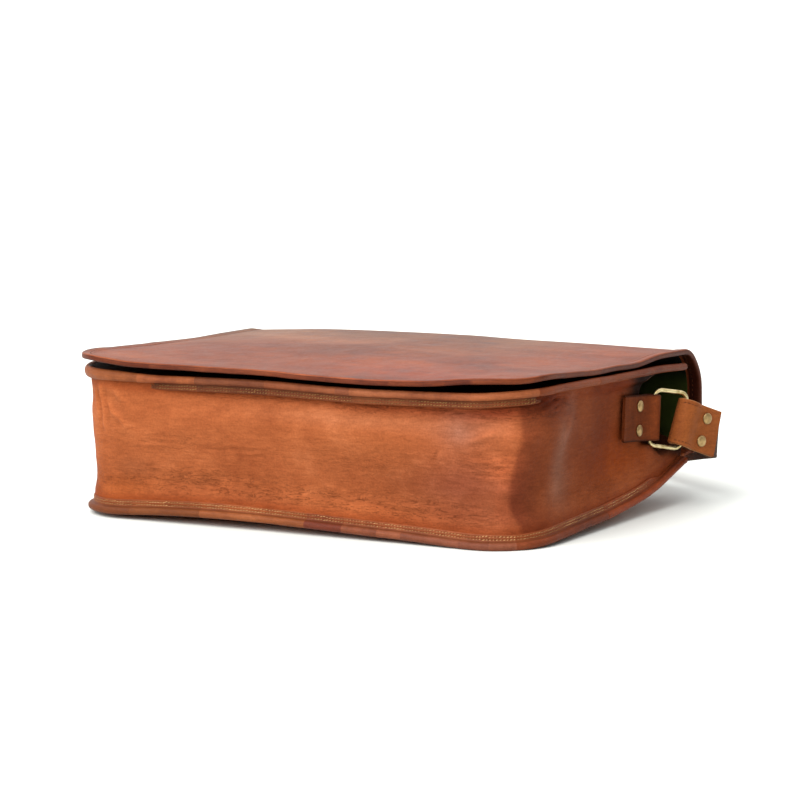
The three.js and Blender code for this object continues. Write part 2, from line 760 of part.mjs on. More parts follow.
function strapEnd() {
  const { ahead, out } = tailAxes;
  const radius = BAR_BORE.strap + STRAP.thick / 2;
  const slit = (GAP + STRAP.thick) / 2;
  const at = (u, n) => tailBar.clone().addScaledVector(ahead, u).addScaledVector(out, n);
  const offset = (u) => slit + (radius - slit) * (1 - smooth(TAIL_PARTING.from, TAIL_PARTING.to, u));
  const layer = TAIL_PARTING.steps;
  const tail = [TAIL.length, TAIL_RIVETS.u, ...[...layer].reverse()].map((u) => at(u, offset(u)));
  const fold = steps(Math.PI / 2, 3 * Math.PI / 2, ROUND_SIDES)
    .map((a) => at(radius * Math.cos(a), radius * Math.sin(a)));
  const back = [...layer, TAIL_RIVETS.u, TAIL.length - STRAP_BEND.before].map((u) => at(u, -offset(u)));
  return [...tail, ...fold, ...back];
}

function mirroredPoint(p) {
  return new THREE.Vector3(-p.x, p.y, p.z);
}

function strapStations() {
  const right = strapEnd();
  const left = right.map(mirroredPoint).reverse();
  const loop = STRAP_LOOP.map(({ x, y, z }) => new THREE.Vector3(x, y, z));
  const bend = right[right.length - 1].clone().add(STRAP_BEND.by);
  const route = [right[right.length - 1], bend, ...loop, mirroredPoint(bend), left[0]];
  const run = new THREE.CatmullRomCurve3(route, false, 'centripetal');
  const points = [...right, ...run.getPoints(STRAP_BEND.steps).slice(1, -1), ...left];
  const tailUp = tailAxes.up;
  return points.map((point, i) => {
    const before = points[Math.max(i - 1, 0)];
    const after = points[Math.min(i + 1, points.length - 1)];
    const tangent = after.clone().sub(before).normalize();
    const fromEnd = Math.min(i, points.length - 1 - i) - right.length;
    const upright = smooth(0, STRAP_BEND.uprightAfter, fromEnd);
    const lean = i < points.length / 2 ? tailUp : mirroredPoint(tailUp);
    const up = new THREE.Vector3(0, 0, upright).addScaledVector(lean, 1 - upright);
    up.addScaledVector(tangent, -up.dot(tangent)).normalize();
    return { point, out: new THREE.Vector3().crossVectors(tangent, up), up };
  });
}

function strap() {
  const t = STRAP.thick / 2;
  const w = STRAP.width / 2;
  const section = [[-t, -w], [t, -w], [t, w], [-t, w]];
  const right = rivetHoles(tailRivets());
  return cut(sweep(section, strapStations()), [...right, ...right.map(mirrored)]);
}

// Assembly

function mesh(name, geometry, finish) {
  const made = new THREE.Mesh(geometry, new THREE.MeshStandardMaterial(finish));
  made.name = name;
  return made;
}

const bag = new THREE.Group();
const tabHoles = rivetHoles(tabRivets());
const upward = new THREE.Vector3(0, 0, 1);
const downward = new THREE.Vector3(0, 0, -1);
bag.add(mesh('back_panel', panel(backLevel, BACK_END_Y, ROWS.back, PANEL_T, upward), LEATHER));
bag.add(mesh('front_panel', panel(frontLevel, MOUTH_Y, ROWS.front, PANEL_T, downward), LEATHER_RED));
bag.add(mesh('gusset', cut(gusset(), [...tabHoles, ...tabHoles.map(mirrored)]), LEATHER));
bag.add(mesh('back_binding', edgeBinding(lowEdge, 1), LEATHER_DARK));
bag.add(mesh('front_binding', edgeBinding(topEdge, -1), LEATHER_DARK));
bag.add(mesh('flap', flap(), LEATHER_RED));
bag.add(mesh('flap_binding', flapEdge(), LEATHER_DARK));
bag.add(mesh('lining', lining(), CANVAS));
bag.add(mesh('shoulder_strap', strap(), LEATHER_DARK));

for (const side of ['right', 'left']) {
  const own = side === 'right' ? (geometry) => geometry : mirrored;
  bag.add(mesh(`${side}_strap_tab`, own(strapTab()), LEATHER_DARK));
  bag.add(mesh(`${side}_ring`, own(ring()), BRASS));
  tabRivets().forEach((place, i) => bag.add(mesh(`${side}_tab_rivet_${i + 1}`, own(rivet(place)), BRASS)));
  tailRivets().forEach((place, i) => bag.add(mesh(`${side}_strap_rivet_${i + 1}`, own(rivet(place)), BRASS)));
}

export default bag;
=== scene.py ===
# Looks of a full-flap leather laptop bag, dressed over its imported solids.
# Sizes are millimetres in the part's own frame; piece() turns them into metres.

import math

import bmesh
import bpy
import numpy as np
from mathutils import Matrix, Vector, noise


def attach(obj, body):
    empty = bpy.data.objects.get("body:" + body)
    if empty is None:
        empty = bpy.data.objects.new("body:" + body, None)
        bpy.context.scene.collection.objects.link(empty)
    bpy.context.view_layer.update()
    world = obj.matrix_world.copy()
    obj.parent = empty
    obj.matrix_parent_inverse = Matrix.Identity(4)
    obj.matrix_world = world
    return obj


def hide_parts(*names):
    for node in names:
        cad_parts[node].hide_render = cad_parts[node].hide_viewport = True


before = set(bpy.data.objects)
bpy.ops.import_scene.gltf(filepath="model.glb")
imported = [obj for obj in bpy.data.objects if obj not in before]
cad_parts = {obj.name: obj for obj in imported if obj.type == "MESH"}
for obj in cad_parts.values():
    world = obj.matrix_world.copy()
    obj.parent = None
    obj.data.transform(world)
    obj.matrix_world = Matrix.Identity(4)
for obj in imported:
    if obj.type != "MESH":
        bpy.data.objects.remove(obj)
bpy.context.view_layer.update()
scene = bpy.context.scene
MM = 0.001


def table(columns, *rows):
    """Rows of numbers as named columns."""
    return dict(zip(columns.split(), np.array(rows, float).T))


# Camera and studio
CAMERA = {
    "at": (1280.9, -2122.9, 404.6), "aim": (7.64, 4.57, 84.3), "roll": -0.8, "lens": 147.49, "sensor": 36.0,
    "clip": 200.0,
}
FLOOR = {"reach": 90000.0, "colour": (0.72, 0.75, 0.73, 1), "rough": 0.8, "specular": 0.2}
WORLD = {"colour": (1.0, 0.99, 0.98, 1), "level": 0.22}
SKY = (((0.0, 0.0, 1.0), 1.25), ((-0.513, 0.858, 0.0), 0.8))
KEY = {"from": (-0.15, -0.74, 0.66), "strength": 4.2, "spread": 60.0, "colour": (1.0, 0.98, 0.95)}

# The part's driving dimensions
WIDTH = 393.0
BOTTOM_Y = -140.0
MOUTH_Y = 114.0
CORNER_R = 43.0
GAP = 0.3
GUSSET_T = 1.8
PANEL_T = 2.2
FLAP_T = 2.5
LINING_T = 1.0
SEAM_N = -0.5
PANEL_INSET = 1.0
SPINE_Y = 143.5
SPINE_TOP = {"z": 115.5, "r": 30.0, "fade": 12.0}
TOP_FROM = SPINE_TOP["z"] - 1.0
SPINE_FOOT = {"y": 121.0, "z": 32.0, "slope": 0.265, "r": 18.0, "widening": 8.0}
HEM = {"y": 97.0, "half": 192.0, "lift_from": 18.0, "lift_to": 4.0}
BACK_END_Y = 120.0
FLAP_HALF = 198.5
FLAP_FRONT_Y = -148.5
FLAP_CORNER_R = 45.0
FLAP_RISE = 4.0
EDGE_WAVE_REACH = 60.0
LINING = {"half": 189.0, "end_y": 62.0, "clear": 0.3, "pucker": 0.25}
# Painted shade on the lining: darker towards the top of the flap and away from its sides
LINING_SHADE = {"z": (78.0, 102.0), "x": (176.0, 120.0), "loss": (0.985, 0.75)}
STRAP = {"width": 35.4, "thick": 2.8, "kind": "strap"}
BAR_BORE = {"tab": 4.0, "strap": 5.4}
TAB = {"width": 35.0, "layer": 2.3, "outer": 46.5, "inner": 36.0, "heading": 88.0, "pitch": -5.0}
TAB_PARTING = (-18.0, -2.0)
TAB_BAR = np.array((196.4, 63.2, 72.3))
RING = {"wire": 3.2, "reach": 26.5, "tall": 42.4, "corner": 5.5, "heading": 50.0, "lean": 10.0, "to": 66.0}
TAIL = {"heading": 68.0, "pitch": -20.0, "length": 34.5, "drop": 1.5, "before_bend": 9.0, "slant": 0.1}
TAIL_PARTING = (0.0, 15.0)
TAIL_BEND = np.array((-0.5, 11.0, -4.0))
TAB_RIVETS = {"u": -23.8, "apart": 18.3}
TAIL_RIVETS = {"u": 19.8, "apart": 17.8}
RIVET = {
    "head_r": 4.4, "head_tall": 1.9, "rim": 0.45, "shank_r": 1.4, "cap_r": 3.2, "cap_tall": 0.9,
    "tip": 0.02, "bevel": 0.3, "lip": 0.15, "lip_tall": 0.12, "proud": 0.05, "inner_gap": 0.3,
}
DIMPLE = {"depth": 0.3, "reach": 5.0, "between": (1.0, 6.0)}

HALF = WIDTH / 2
STRAIGHT = HALF - CORNER_R
ARC = CORNER_R * math.pi / 2
ARC_Y = BOTTOM_Y + CORNER_R
PATH_END = STRAIGHT + ARC + MOUTH_Y - ARC_Y
HEM_LIFT = FLAP_T + 3 * GAP
FRONT_LEVEL = 112.0
FRONT_FALL = 3.3
UPRIGHT = np.array((0.0, 0.0, 1.0))
TINY = 1e-9
RGB = ("red", "green", "blue")

# Lower and upper edge of the bound body, s along the outline from the middle of the bottom
EDGE_LEVELS = table(
    "s low top",
    (-430, 30.0, 108.2), (-391, 18.5, 110.6), (-356, 11.5, 111.4), (-306, 6.5, 112.5), (-265, 4.5, 113.4),
    (-221, 2.4, 114.2), (-187, 2.8, 113.8), (-154, 3.2, 113.3), (-118, 5.0, 111.6), (-76, 6.4, 112.1),
    (-20, 6.2, 112.6), (58, 3.9, 110.9), (100, 2.6, 111.3), (154, 0.2, 112.3), (187, 0.0, 114.2),
    (221, 2.2, 114.8), (265, 4.5, 113.9), (306, 6.5, 112.5), (356, 11.5, 111.4), (391, 18.5, 110.6),
    (430, 30.0, 108.2),
)
BACK_RISE = table("y rise", (15, 0), (38, 3.2), (60, 8.6), (73, 12.9), (88, 18.8), (104, 25.6), (121, 32.0))

# Where the gusset wells over the front binding's flange and hides it
WELL = {"right": (192.0, 214.0), "left": (-150.0, -92.0), "out": 1.5, "t": (0.78, 0.9)}

# The gusset's slack wave between its seams, its fold beside the mouth and the flat under each tab
GUSSET_WAVE = table(
    "t out", (0, 0), (0.1, 0.8), (0.22, -4.6), (0.4, -2.4), (0.7, 3.2), (0.82, 0.2), (0.89, -2.0), (1, 0)
)
SLACK = table("s share", (-221, 0.35), (-150, 0.4), (-60, 0.9), (150, 1.0), (221, 0.8))
MOUTH_FOLD = table(
    "y depth", (-40, 0), (0, 2.0), (44, 7.5), (60, 16.0), (78, 22.0), (95, 28.0), (114, 37.0)
)
FOLD = {"foot": (0.32, 0.14), "foot_y": (58.0, 92.0), "spread": (0.8, 0.96), "y": (50.0, 76.0), "power": 4}
CALM = {"from": -60.0, "to": 10.0, "share": 0.9}
PAD = {"y": (-40.0, 14.0, 46.0, 56.0), "t": (0.04, 0.4, 0.88, 0.94)}

# Waves of the flap's front edge and of its side edges
FRONT_WAVE = table(
    "x lift",
    (-200, 4.4), (-172, 4.0), (-132, 1.0), (-69, 0.8), (-20, 1.0), (10, 0.2),
    (45, -1.7), (94, -1.5), (136, 0.4), (168, 3.6), (200, 4.4),
)
SIDE_WAVE = table(
    "y right left",
    (-113, 3.4, 2.4), (-54, 0.4, 0.6), (-8, -0.7, 0.2), (37, -0.6, -0.4),
    (70, 2.2, 0.2), (105, 2.0, 0.4),
)

# Crown of the flap along its spine, fading towards its front edge
CROWN = table(
    "x lift",
    (-200, 0.4), (-166, 2.4), (-122, 4.6), (-57, 5.5), (9, 5.4), (53, 4.2),
    (118, 3.1), (162, 1.6), (200, 0.0),
)
CROWN_FADE = (-140.0, 40.0)

# Colour of the flap's top: the painted sheen that greys it towards the spine, and its dye patches
FLAP_SHEEN = {"y": (-60.0, 120.0), "x": (60.0, 170.0), "tint": (0.92, 1.68, 2.55)}
FLAP_PATCHES = table(
    "s t reach_s reach_t red green blue",
    (-30, -20, 45, 35, -0.26, -0.26, -0.22), (60, -90, 60, 40, 0.16, 0.02, -0.05),
    (120, -120, 50, 30, 0.2, 0.02, -0.1), (-130, -60, 55, 60, -0.08, -0.12, -0.16),
    (40, 60, 60, 40, 0.08, 0.08, 0.08), (-60, 80, 50, 30, -0.12, -0.06, 0.0),
    (-10, -110, 40, 25, -0.1, -0.14, -0.14), (150, 20, 40, 60, 0.14, 0.12, 0.04),
    (-165, 40, 30, 90, -0.1, -0.06, 0.0),
)

# The strap's lie behind the bag, from the right ring round to the left one
STRAP_LOOP = table(
    "x y z", (214, 139.5, 50), (193, 159, 45), (132, 208, 31), (58, 272, 19.5), (-60, 362, 17.8),
    (-180, 420, 17.8),
    (-296, 398, 17.8), (-352, 310, 17.8), (-330, 222, 21), (-268, 166, 34),
)

# Soft dents of the gusset: middle, reach and depth outwards
DENTS = table(
    "s t reach_s reach_t out",
    (169, 0.78, 16, 0.16, 1.6), (178, 0.5, 9, 0.1, 0.8), (206, 0.45, 9, 0.35, -1.2),
    (-165, 0.75, 9, 0.22, -1.2), (-150, 0.62, 8, 0.16, 0.9), (-110, 0.35, 40, 0.14, -0.8),
    (60, 0.45, 45, 0.2, -0.9), (120, 0.66, 30, 0.15, 0.9), (-40, 0.72, 50, 0.16, 0.8),
    (215, 0.7, 12, 0.2, 0.8),
    (250, 0.4, 18, 0.4, -1.0), (-250, 0.5, 25, 0.3, -1.2), (300, 0.5, 26, 0.22, 0.7),
)

# Places where the gusset is finely wrinkled along its length
WRINKLES = table(
    "s t reach_s reach_t depth",
    (-85, 0.22, 60, 0.1, 1.0), (20, 0.18, 70, 0.07, 0.9), (168, 0.52, 24, 0.08, 0.6),
    (115, 0.18, 60, 0.08, 0.9),
    (175, 0.9, 40, 0.05, 1.0), (215, 0.9, 30, 0.07, 1.5), (-100, 0.52, 50, 0.1, 0.3),
    (-180, 0.2, 30, 0.1, 0.3),
    (300, 0.2, 40, 0.06, 0.45), (80, 0.9, 60, 0.05, 0.8), (-40, 0.91, 60, 0.04, 0.6),
    (60, 0.5, 60, 0.1, 0.3),
)

# Single creases of the gusset: ends, depth outwards and half width
CREASES = table(
    "s1 z1 s2 z2 out width",
    (-171, 101, -164, 66, 1.5, 2.4), (-166, 90, -140, 70, 1.4, 2.8), (-176, 97, -169, 76, -1.3, 2.2),
    (-160, 96, -142, 82, -0.9, 2.6), (-135, 60, -109, 61.6, -0.4, 1.4), (-82, 57, -15, 60, -0.45, 1.4),
    (-42, 55, -20, 54.4, -0.4, 1.4), (-128, 38.4, -114, 36.2, -0.45, 1.4), (10, 27.5, 45, 27.7, -0.6, 1.5),
    (45, 27.7, 66, 27, -0.6, 1.5), (66, 27, 95, 23.3, -0.8, 1.6), (95, 23.3, 129, 23.5, -0.7, 1.6),
    (129, 23.5, 161, 22.9, -0.6, 1.6), (37, 100, 50, 96.3, -0.7, 1.5), (60, 100, 85, 96, -0.6, 1.6),
    (100, 100, 130, 96.5, -0.7, 1.8), (125, 100, 154, 95, -0.8, 1.8), (150, 99, 172, 95, -0.7, 1.8),
    (154, 78, 176, 85, 0.9, 2.6), (150, 88, 178, 92, -0.8, 2.0), (141, 58, 186, 59, -0.5, 1.8),
    (154, 54, 179, 53, -0.4, 1.6), (150, 63, 184, 64.5, 0.4, 2.2), (129, 70, 125, 62, -0.6, 1.4),
    (204, 103, 216, 107, -1.0, 1.5), (210, 100, 234, 105, -1.0, 1.6), (234, 101.5, 252, 99, -0.7, 1.6),
    (225, 106, 245, 101, -0.8, 1.6), (196, 103, 203, 97, -0.7, 1.5), (257, 96, 233, 66, 0.5, 3.0),
    (190, 108, 196, 72, 2.4, 7.5), (197, 84, 188, 54, 2.4, 7.5), (190, 62, 182, 36, 2.4, 7.5),
    (183, 46, 185, 12, 2.0, 7.5), (62, 62, 66, 44, 0.35, 1.3), (-8, 60, -5, 44, 0.3, 1.3),
)
BOLD_CREASE = 4.0
CREASE_ENDS = (-0.1, 0.25, 0.75, 1.1)
# Painted shade in the single creases that go in, and painted highlight on those that stand out
CREASE_LIGHT_AND_SHADE = 0.14

# Where soft dents and wrinkles start beside the seams, how deep and cracked the wrinkles are, and how much
# painted shade darkens their hollows
SOFT_FROM = (0.09, 0.2, 0.84, 0.93)
WRINKLED_FROM = (0.07, 0.12)
WRINKLE_LEVEL = 0.3
FINE_DARK = 0.2
CRACKED = 1.25

# Patches of the gusset where wax and wear have changed its dye, mixed with painted light: painted shadow
# under the top flange, painted shade low by the right corner and on the right side, and painted highlights
# and sheen at the right corner
WEAR_AND_PAINTED_LIGHT = table(
    "s t reach_s reach_t red green blue",
    # Painted sheen: a pale streak down the right side
    (252, 0.85, 8, 0.14, 0.02, 0.24, 0.8), (238, 0.68, 9, 0.14, 0.02, 0.28, 0.9),
    (232, 0.5, 10, 0.15, 0.0, 0.28, 0.9), (238, 0.3, 14, 0.14, 0.04, 0.3, 0.85),
    (146, 0.76, 14, 0.1, -0.06, 0.12, 0.55), (150, 0.8, 40, 0.1, -0.12, -0.08, 0.1),
    (60, 0.8, 80, 0.06, 0.08, 0.22, 0.45),
    # Painted highlight on the bulge at the right corner
    (172, 0.76, 11, 0.08, 0.24, 0.28, 0.34), (172, 0.6, 12, 0.05, 0.16, 0.16, 0.16),
    # Painted shade low on the front by the right corner
    (135, 0.36, 60, 0.15, -0.26, -0.28, -0.22), (150, 0.5, 40, 0.25, -0.1, -0.12, 0.06),
    (60, 0.36, 60, 0.12, -0.1, -0.12, -0.12), (328, 0.36, 50, 0.2, 0.1, -0.02, -0.24),
    # Painted shade: the right side darker than the front
    (340, 0.5, 130, 0.6, -0.3, -0.42, -0.46), (300, 0.6, 60, 0.5, -0.26, -0.26, -0.22),
    (250, 0.5, 22, 0.6, -0.12, -0.12, -0.08),
    # The second patch is a painted highlight low on the corner bulge
    (330, 0.92, 45, 0.1, -0.14, -0.2, -0.2), (176, 0.5, 11, 0.07, 0.42, 0.4, 0.42),
    (155, 0.16, 60, 0.12, -0.2, -0.22, -0.12), (188, 0.3, 14, 0.3, -0.12, -0.14, -0.1),
    # Painted shadow under the top binding's flange, across the front and round the right corner
    (60, 0.895, 50, 0.04, -0.18, -0.28, -0.32),
    (135, 0.89, 50, 0.05, -0.26, -0.36, -0.38), (180, 0.9, 25, 0.06, -0.26, -0.36, -0.36),
    (228, 0.88, 24, 0.08, -0.16, -0.26, -0.26), (215, 0.96, 18, 0.06, -0.3, -0.38, -0.4),
    (-150, 0.16, 30, 0.1, 0.05, 0.0, -0.15), (-141, 0.3, 20, 0.1, -0.12, -0.08, 0.0),
    (-60, 0.55, 70, 0.14, 0.08, 0.08, 0.06), (80, 0.14, 60, 0.05, 0.12, 0.1, 0.05),
    (-40, 0.5, 120, 0.3, 0.0, 0.03, 0.1),
)

# The right corner's fold, past which the gusset gets painted shade as it turns to the side, and how far on it
# fades
CORNER_FOLD = table(
    "z s", (0, 197), (17, 189), (31, 182), (42, 181.5), (60, 185), (83, 190), (99, 190.5), (120, 194)
)
CORNER_SHADE = {"edge": (-2.0, 3.0), "fade": (14.0, 60.0), "loss": np.array((0.34, 0.4, 0.36))}

# Painted shadow beside the mouth, under the tab and ring: the line under it, its soft start and what it takes
# above and below the tab
MOUTH_LINE = table("s z", (340, 60), (366, 52), (379, 48.5), (388, 44), (412, 38), (432, 34))
MOUTH_SHADE = {
    "s": (350.0, 376.0), "edge": (-4.0, 6.0), "loss": (0.87, 0.95), "z": (60.0, 90.0), "earlier": 16.0,
}

# Places where the gusset is puckered like orange peel
PUCKERS = table(
    "s t reach_s reach_t depth",
    (168, 0.68, 26, 0.2, 0.5), (-150, 0.7, 26, 0.2, 0.3), (120, 0.8, 40, 0.1, 0.3),
)

# Painted shade along the gusset's two seams, under the bound edges
SEAM_SHADE = {"t": (0.08, 0.15, 0.86, 0.93), "loss": np.array((0.16, 0.3, 0.38))}

# Leather strips of each bound edge: where one starts on its path, and its tint
BACK_STRIPS = table(
    "start red green blue",
    (-500, 0.5, 0.42, 0.3), (-140, 0.56, 0.5, 0.36), (-76, 0.82, 0.76, 0.62), (16, 0.52, 0.36, 0.46),
    (48, 0.84, 0.8, 0.95), (66, 0.68, 0.62, 0.75), (78, 0.95, 0.94, 1.15), (98, 0.7, 0.68, 0.9),
    (146, 0.58, 0.54, 0.72), (168, 0.68, 0.64, 0.8), (186, 0.6, 0.42, 0.34), (300, 0.92, 0.56, 0.34),
)
FRONT_STRIPS = table(
    "start red green blue",
    (-500, 0.9, 0.84, 0.7), (-130, 1.25, 1.18, 1.05), (-78, 0.7, 0.68, 0.74), (-16, 0.92, 0.86, 0.88),
    (45, 0.74, 0.68, 0.76), (57, 1.0, 0.95, 0.95), (136, 1.1, 1.05, 1.05), (157, 1.15, 1.08, 1.0),
    (203, 0.74, 0.54, 0.4), (288, 0.6, 0.43, 0.33),
)
FLAP_STRIPS = table(
    "start red green blue",
    (-600, 0.45, 0.38, 0.38), (-215, 0.62, 0.5, 0.46), (-115, 0.84, 0.78, 0.78),
    (-75, 0.98, 0.94, 0.94), (-13, 0.95, 0.9, 0.92),
    (55, 0.9, 0.82, 0.86), (93, 1.15, 1.12, 1.05), (139, 0.74, 0.68, 0.78), (160, 1.15, 1.15, 1.05),
    (205, 0.85, 0.8, 0.7), (300, 0.62, 0.52, 0.42),
)

# Stitch rows: distance along the flange, pitch, length and thread radius
FLANGE_ROWS = (7.6, 9.7)
FLANGE_STITCH = {"pitch": 2.5, "length": 2.0, "radius": 0.32, "slant": 0.4, "loose": 0.2, "rise": 0.75}
FLAP_STITCH = {"inset": 5.2, "pitch": 3.6, "length": 2.4, "radius": 0.26, "rise": (0.4, 0.35)}
STRAP_STITCH = {
    "inset": 3.0, "pitch": 2.9, "length": 1.9, "radius": 0.3, "row": (-7.7, 9.0), "turn": 190.0, "sink": 0.05,
}
STITCH_RINGS = ((-0.8, 0.75), (0.0, 1.0), (0.8, 0.75))
STITCH_SIDES = 6
STITCH_DIP = 0.5
STITCH_SLANT = 0.14
STITCH_LOOSE = 0.06

# Section of a strap, the tint of its cut edges, the painted shade of its stretch under and behind the tail
# and the painted highlight where a tab folds
BAND = {
    "round": 0.95, "round_share": 0.38, "edge": 2.0, "groove": 0.6, "dip": 0.22, "across": (7.0, 11.0, 14.5),
    "arc": (65, 35, 0, -35, -65),
}
CUT_EDGE = {"strap": np.array((1.3, 2.0, 2.9)), "tab": np.array((0.36, 0.36, 0.36))}
CUT_REACH = {"strap": (0.1, 0.7), "tab": (0.1, 2.2)}
HIDDEN_STRETCH_SHADE = {"loss": 0.82, "from": (30, 34), "to": (92, 112)}
TAB_GLEAM = {"share": 0.6, "at": 29, "width": 3.5}
UPRIGHT_SPANS = 3

# Painted shade on the front panel under the flap, darkest at its edge and fading inwards, and the burnished
# rim of the flap
RIM_SHADE = {"least": 0.1, "in": (12.0, 70.0)}
BURNISH = {"least": 0.8, "in": (4.0, 22.0)}

# Roll and stitched flange: distance out of the outline and in from the edge
BEAD = {
    "n": 2.4, "half_n": 3.0, "z": 2.9, "half_z": 2.9, "from": -165.0, "to": 62.0, "steps": 22, "inside": 1.0,
}
FLANGE_FACE = (
    (2.3, 5.9), (1.3, 6.2), (0.95, 6.6), (0.85, 7.3), (0.65, 7.6), (0.85, 7.9), (0.9, 8.6), (0.85, 9.4),
    (0.65, 9.7), (0.85, 10.0), (0.7, 10.8), (0.4, 11.3), (0.0, 11.4), (-0.2, 11.35),
)
FLANGE_SINK = 2.8
FLANGE_TINT = (1.04, 0.88, 0.68)
# Painted shade in the stitch grooves, and in the crease between roll and flange
FLANGE_GROOVE = {"width": 0.35, "loss": 0.2}
ROLL_CREASE = {"z": 6.1, "width": 0.6, "under": 3.0, "loss": 0.45}
# Painted highlight: a pale line along the roll's lower edge beside the hidden flange
ROLL_FOOT = {"angle": (0.84, 0.97), "tint": np.array((0.7, 0.9, 1.1))}
MOUTH_END = (372.0, 398.0)
FULL_ROLL = {"s": (-175.0, -95.0), "share": 0.5}

# The step where one strip laps over the last, and what it does to the roll and to the flange
LAP = {"step": 0.45, "fade": 9.0, "gap": 0.2, "swell": 0.1, "rise": 0.5, "over": 0.5}

# Bound edge of the flap: distance out of its edge and up from its outer face
FLAP_BEAD = (
    (-8.0, 0.06), (-7.6, 0.3), (-6.4, 0.5), (-5.7, 0.5), (-5.2, 0.3), (-4.7, 0.55), (-3.5, 0.75),
    (-1.5, 1.05), (0.2, 1.2), (0.9, 1.0), (1.25, 0.5), (1.3, 0.15), (1.4, -0.25), (1.45, -1.1), (1.35, -2.3),
    (0.9, -3.0), (0.2, -3.25), (-1.5, -3.2), (-3.5, -3.05), (-4.7, -2.95), (-5.2, -2.75), (-5.7, -2.9),
    (-6.4, -2.9), (-7.6, -2.8), (-8.0, -2.58), (-4.0, -2.54), (0.2, -2.54), (0.2, 0.04), (-4.0, 0.04),
)
FLAP_SWELL = {"n": -1.0, "inner": 4, "lap": 0.5, "share": 0.12}
BOUND_FROM = 2
LINED_FROM = 4
FLAP_LOOSE = (60.0, 10.0)

# Dye of that edge, with painted light: a painted highlight along its rim, and the zones of its section with
# what each of them takes away, painted shade in the stitch row, in a thin line under the rim, at its foot and
# on its inside
FLAP_BAND = 0.78
FLAP_LIGHT = np.array((0.7, 1.0, 1.3))
FLAP_LINE = {"middle": 45.0, "reach": 70.0, "light": (0.2, 0.7), "left": (-170.0, -225.0)}
FLAP_ZONE = {
    "rim_n": (0.0, 0.8), "rim_z": (0.3, 0.5), "line": (0.15, 0.25), "outer": 0.5, "foot": (-2.0, -3.2),
    "inside": -1.5, "row": 0.5, "slope": 0.25, "tone_marks": (-3.5, -1.0),
}
FLAP_LOSS = {"row": 0.35, "line": 0.4, "foot": 0.4, "inside": 0.55, "tone_marks": 0.5, "left": 0.7}

# Layers of smooth noise: size of their features, octaves, seed, depth and stretch
NOISE_SHIFT = (17.3, 5.9, 11.7)
EVEN = (1, 1, 1)
NOISE = {
    "soft": (70, 3, 1, 0.9, EVEN), "softer": (26, 3, 2, 0.35, (1, 1, 1.6)),
    "wrinkles": (4.2, 3, 3, 1, (0.16, 1, 1)), "sway": (13, 2, 21, 1.3, EVEN), "puckers": (8, 2, 31, 1, EVEN),
    "roll": (22, 3, 0, 0.06, EVEN), "lean": (45, 2, 2, 0.35, EVEN), "flap": (85, 3, 5, 0.9, (1, 1, 0)),
    "flap_fine": (30, 2, 6, 0.2, (1, 1, 0)), "flap_edge": (18, 3, 9, 0.12, EVEN),
    "canvas": (16, 3, 12, 1, EVEN),
}

# How finely each mesh is divided
SHARP_ANGLE = 55.0
PANEL_STEP = 5.0
FINE_FROM = -200.0
STEPS = {
    "panel_corner": 16, "panel_across": 81, "gusset_left": 60, "gusset": 460, "gusset_up": 91, "binding": 423,
    "hem": 8, "spine_foot": 11, "spine": 12, "spine_top": 22, "flap": 70, "flap_corner": 26,
    "flap_across": 141,
    "lining": 93, "tab_outer": 34, "tab_inner": 24, "tail": 20, "tail_back": 18, "bend": 15, "strap_span": 14,
    "row": 20, "ring_corner": 10, "ring": 16, "dome": 8, "rivet": 28,
}

# Noise of a leather's dye: scale, detail, roughness and distortion, then stretch and seed
SEED_SHIFT = (1.7, 0.9, 1.3)
DYE = (
    ((9.0, 4.0, 0.55, 0.5), EVEN, 0), ((55.0, 5.0, 0.65, 0.3), EVEN, 3), ((3.0, 4.0, 0.6, 0.2), None, 5),
    ((1.0, 5.0, 0.68, 0.6), (90, 90, 420), 8), ((1.0, 4.0, 0.62, 0.9), (62, 62, 430), 11),
)
DYE_SHARE = {"clouds": 0.65, "patches": 0.22, "wrinkles": 0.13}
DYE_SPAN = (0.36, 0.64)
PORES = (700.0, 2.0, 0.5)
CELLS = {"Scale": 620.0, "Randomness": 0.9}
PORE_SPECKLE = (0.35, 0.62, 0.9, 1.05)
FOLD_SPECKLE = (0.3, 0.7, 0.9, 1.08)
CRACK = {"width": 0.024, "share": 0.75, "colour": (0.06, 0.014, 0.005, 1)}
GRAIN = {"cells": 0.6, "pores": 0.5, "depth": 0.0005}
FOLD_BUMP = (0.45, 0.0012)
LEATHER_IOR = 1.46
GLOSS_SPAN = (0.7, 1.3)
BRASS_ROUGH = (0.26, 0.5)
SCRATCHES = (300, 2600, 900)
FLAP_TONES = [(0.08, 0.0142, 0.0055), (0.146, 0.0305, 0.0102), (0.196, 0.0455, 0.015), (0.265, 0.071, 0.0255)]


# Numbers


def smooth(low, high, at):
    f = np.clip((at - low) / (high - low), 0, 1)
    return f * f * (3 - 2 * f)


def between(low, full, fading, high, at):
    """Rises to 1 from low to full, and falls again from fading to high."""
    return np.minimum(smooth(low, full, at), 1 - smooth(fading, high, at))


def blend(a, b, share):
    return a + (b - a) * share


def bell(at, width):
    return np.exp(-((at / width) ** 2))


def stacked(*parts):
    """Columns of numbers put together as points, sections or colours."""
    return np.stack(np.broadcast_arrays(*parts), -1)


def circle(sides):
    turns = np.arange(sides) * 2 * math.pi / sides
    return stacked(np.cos(turns), np.sin(turns))


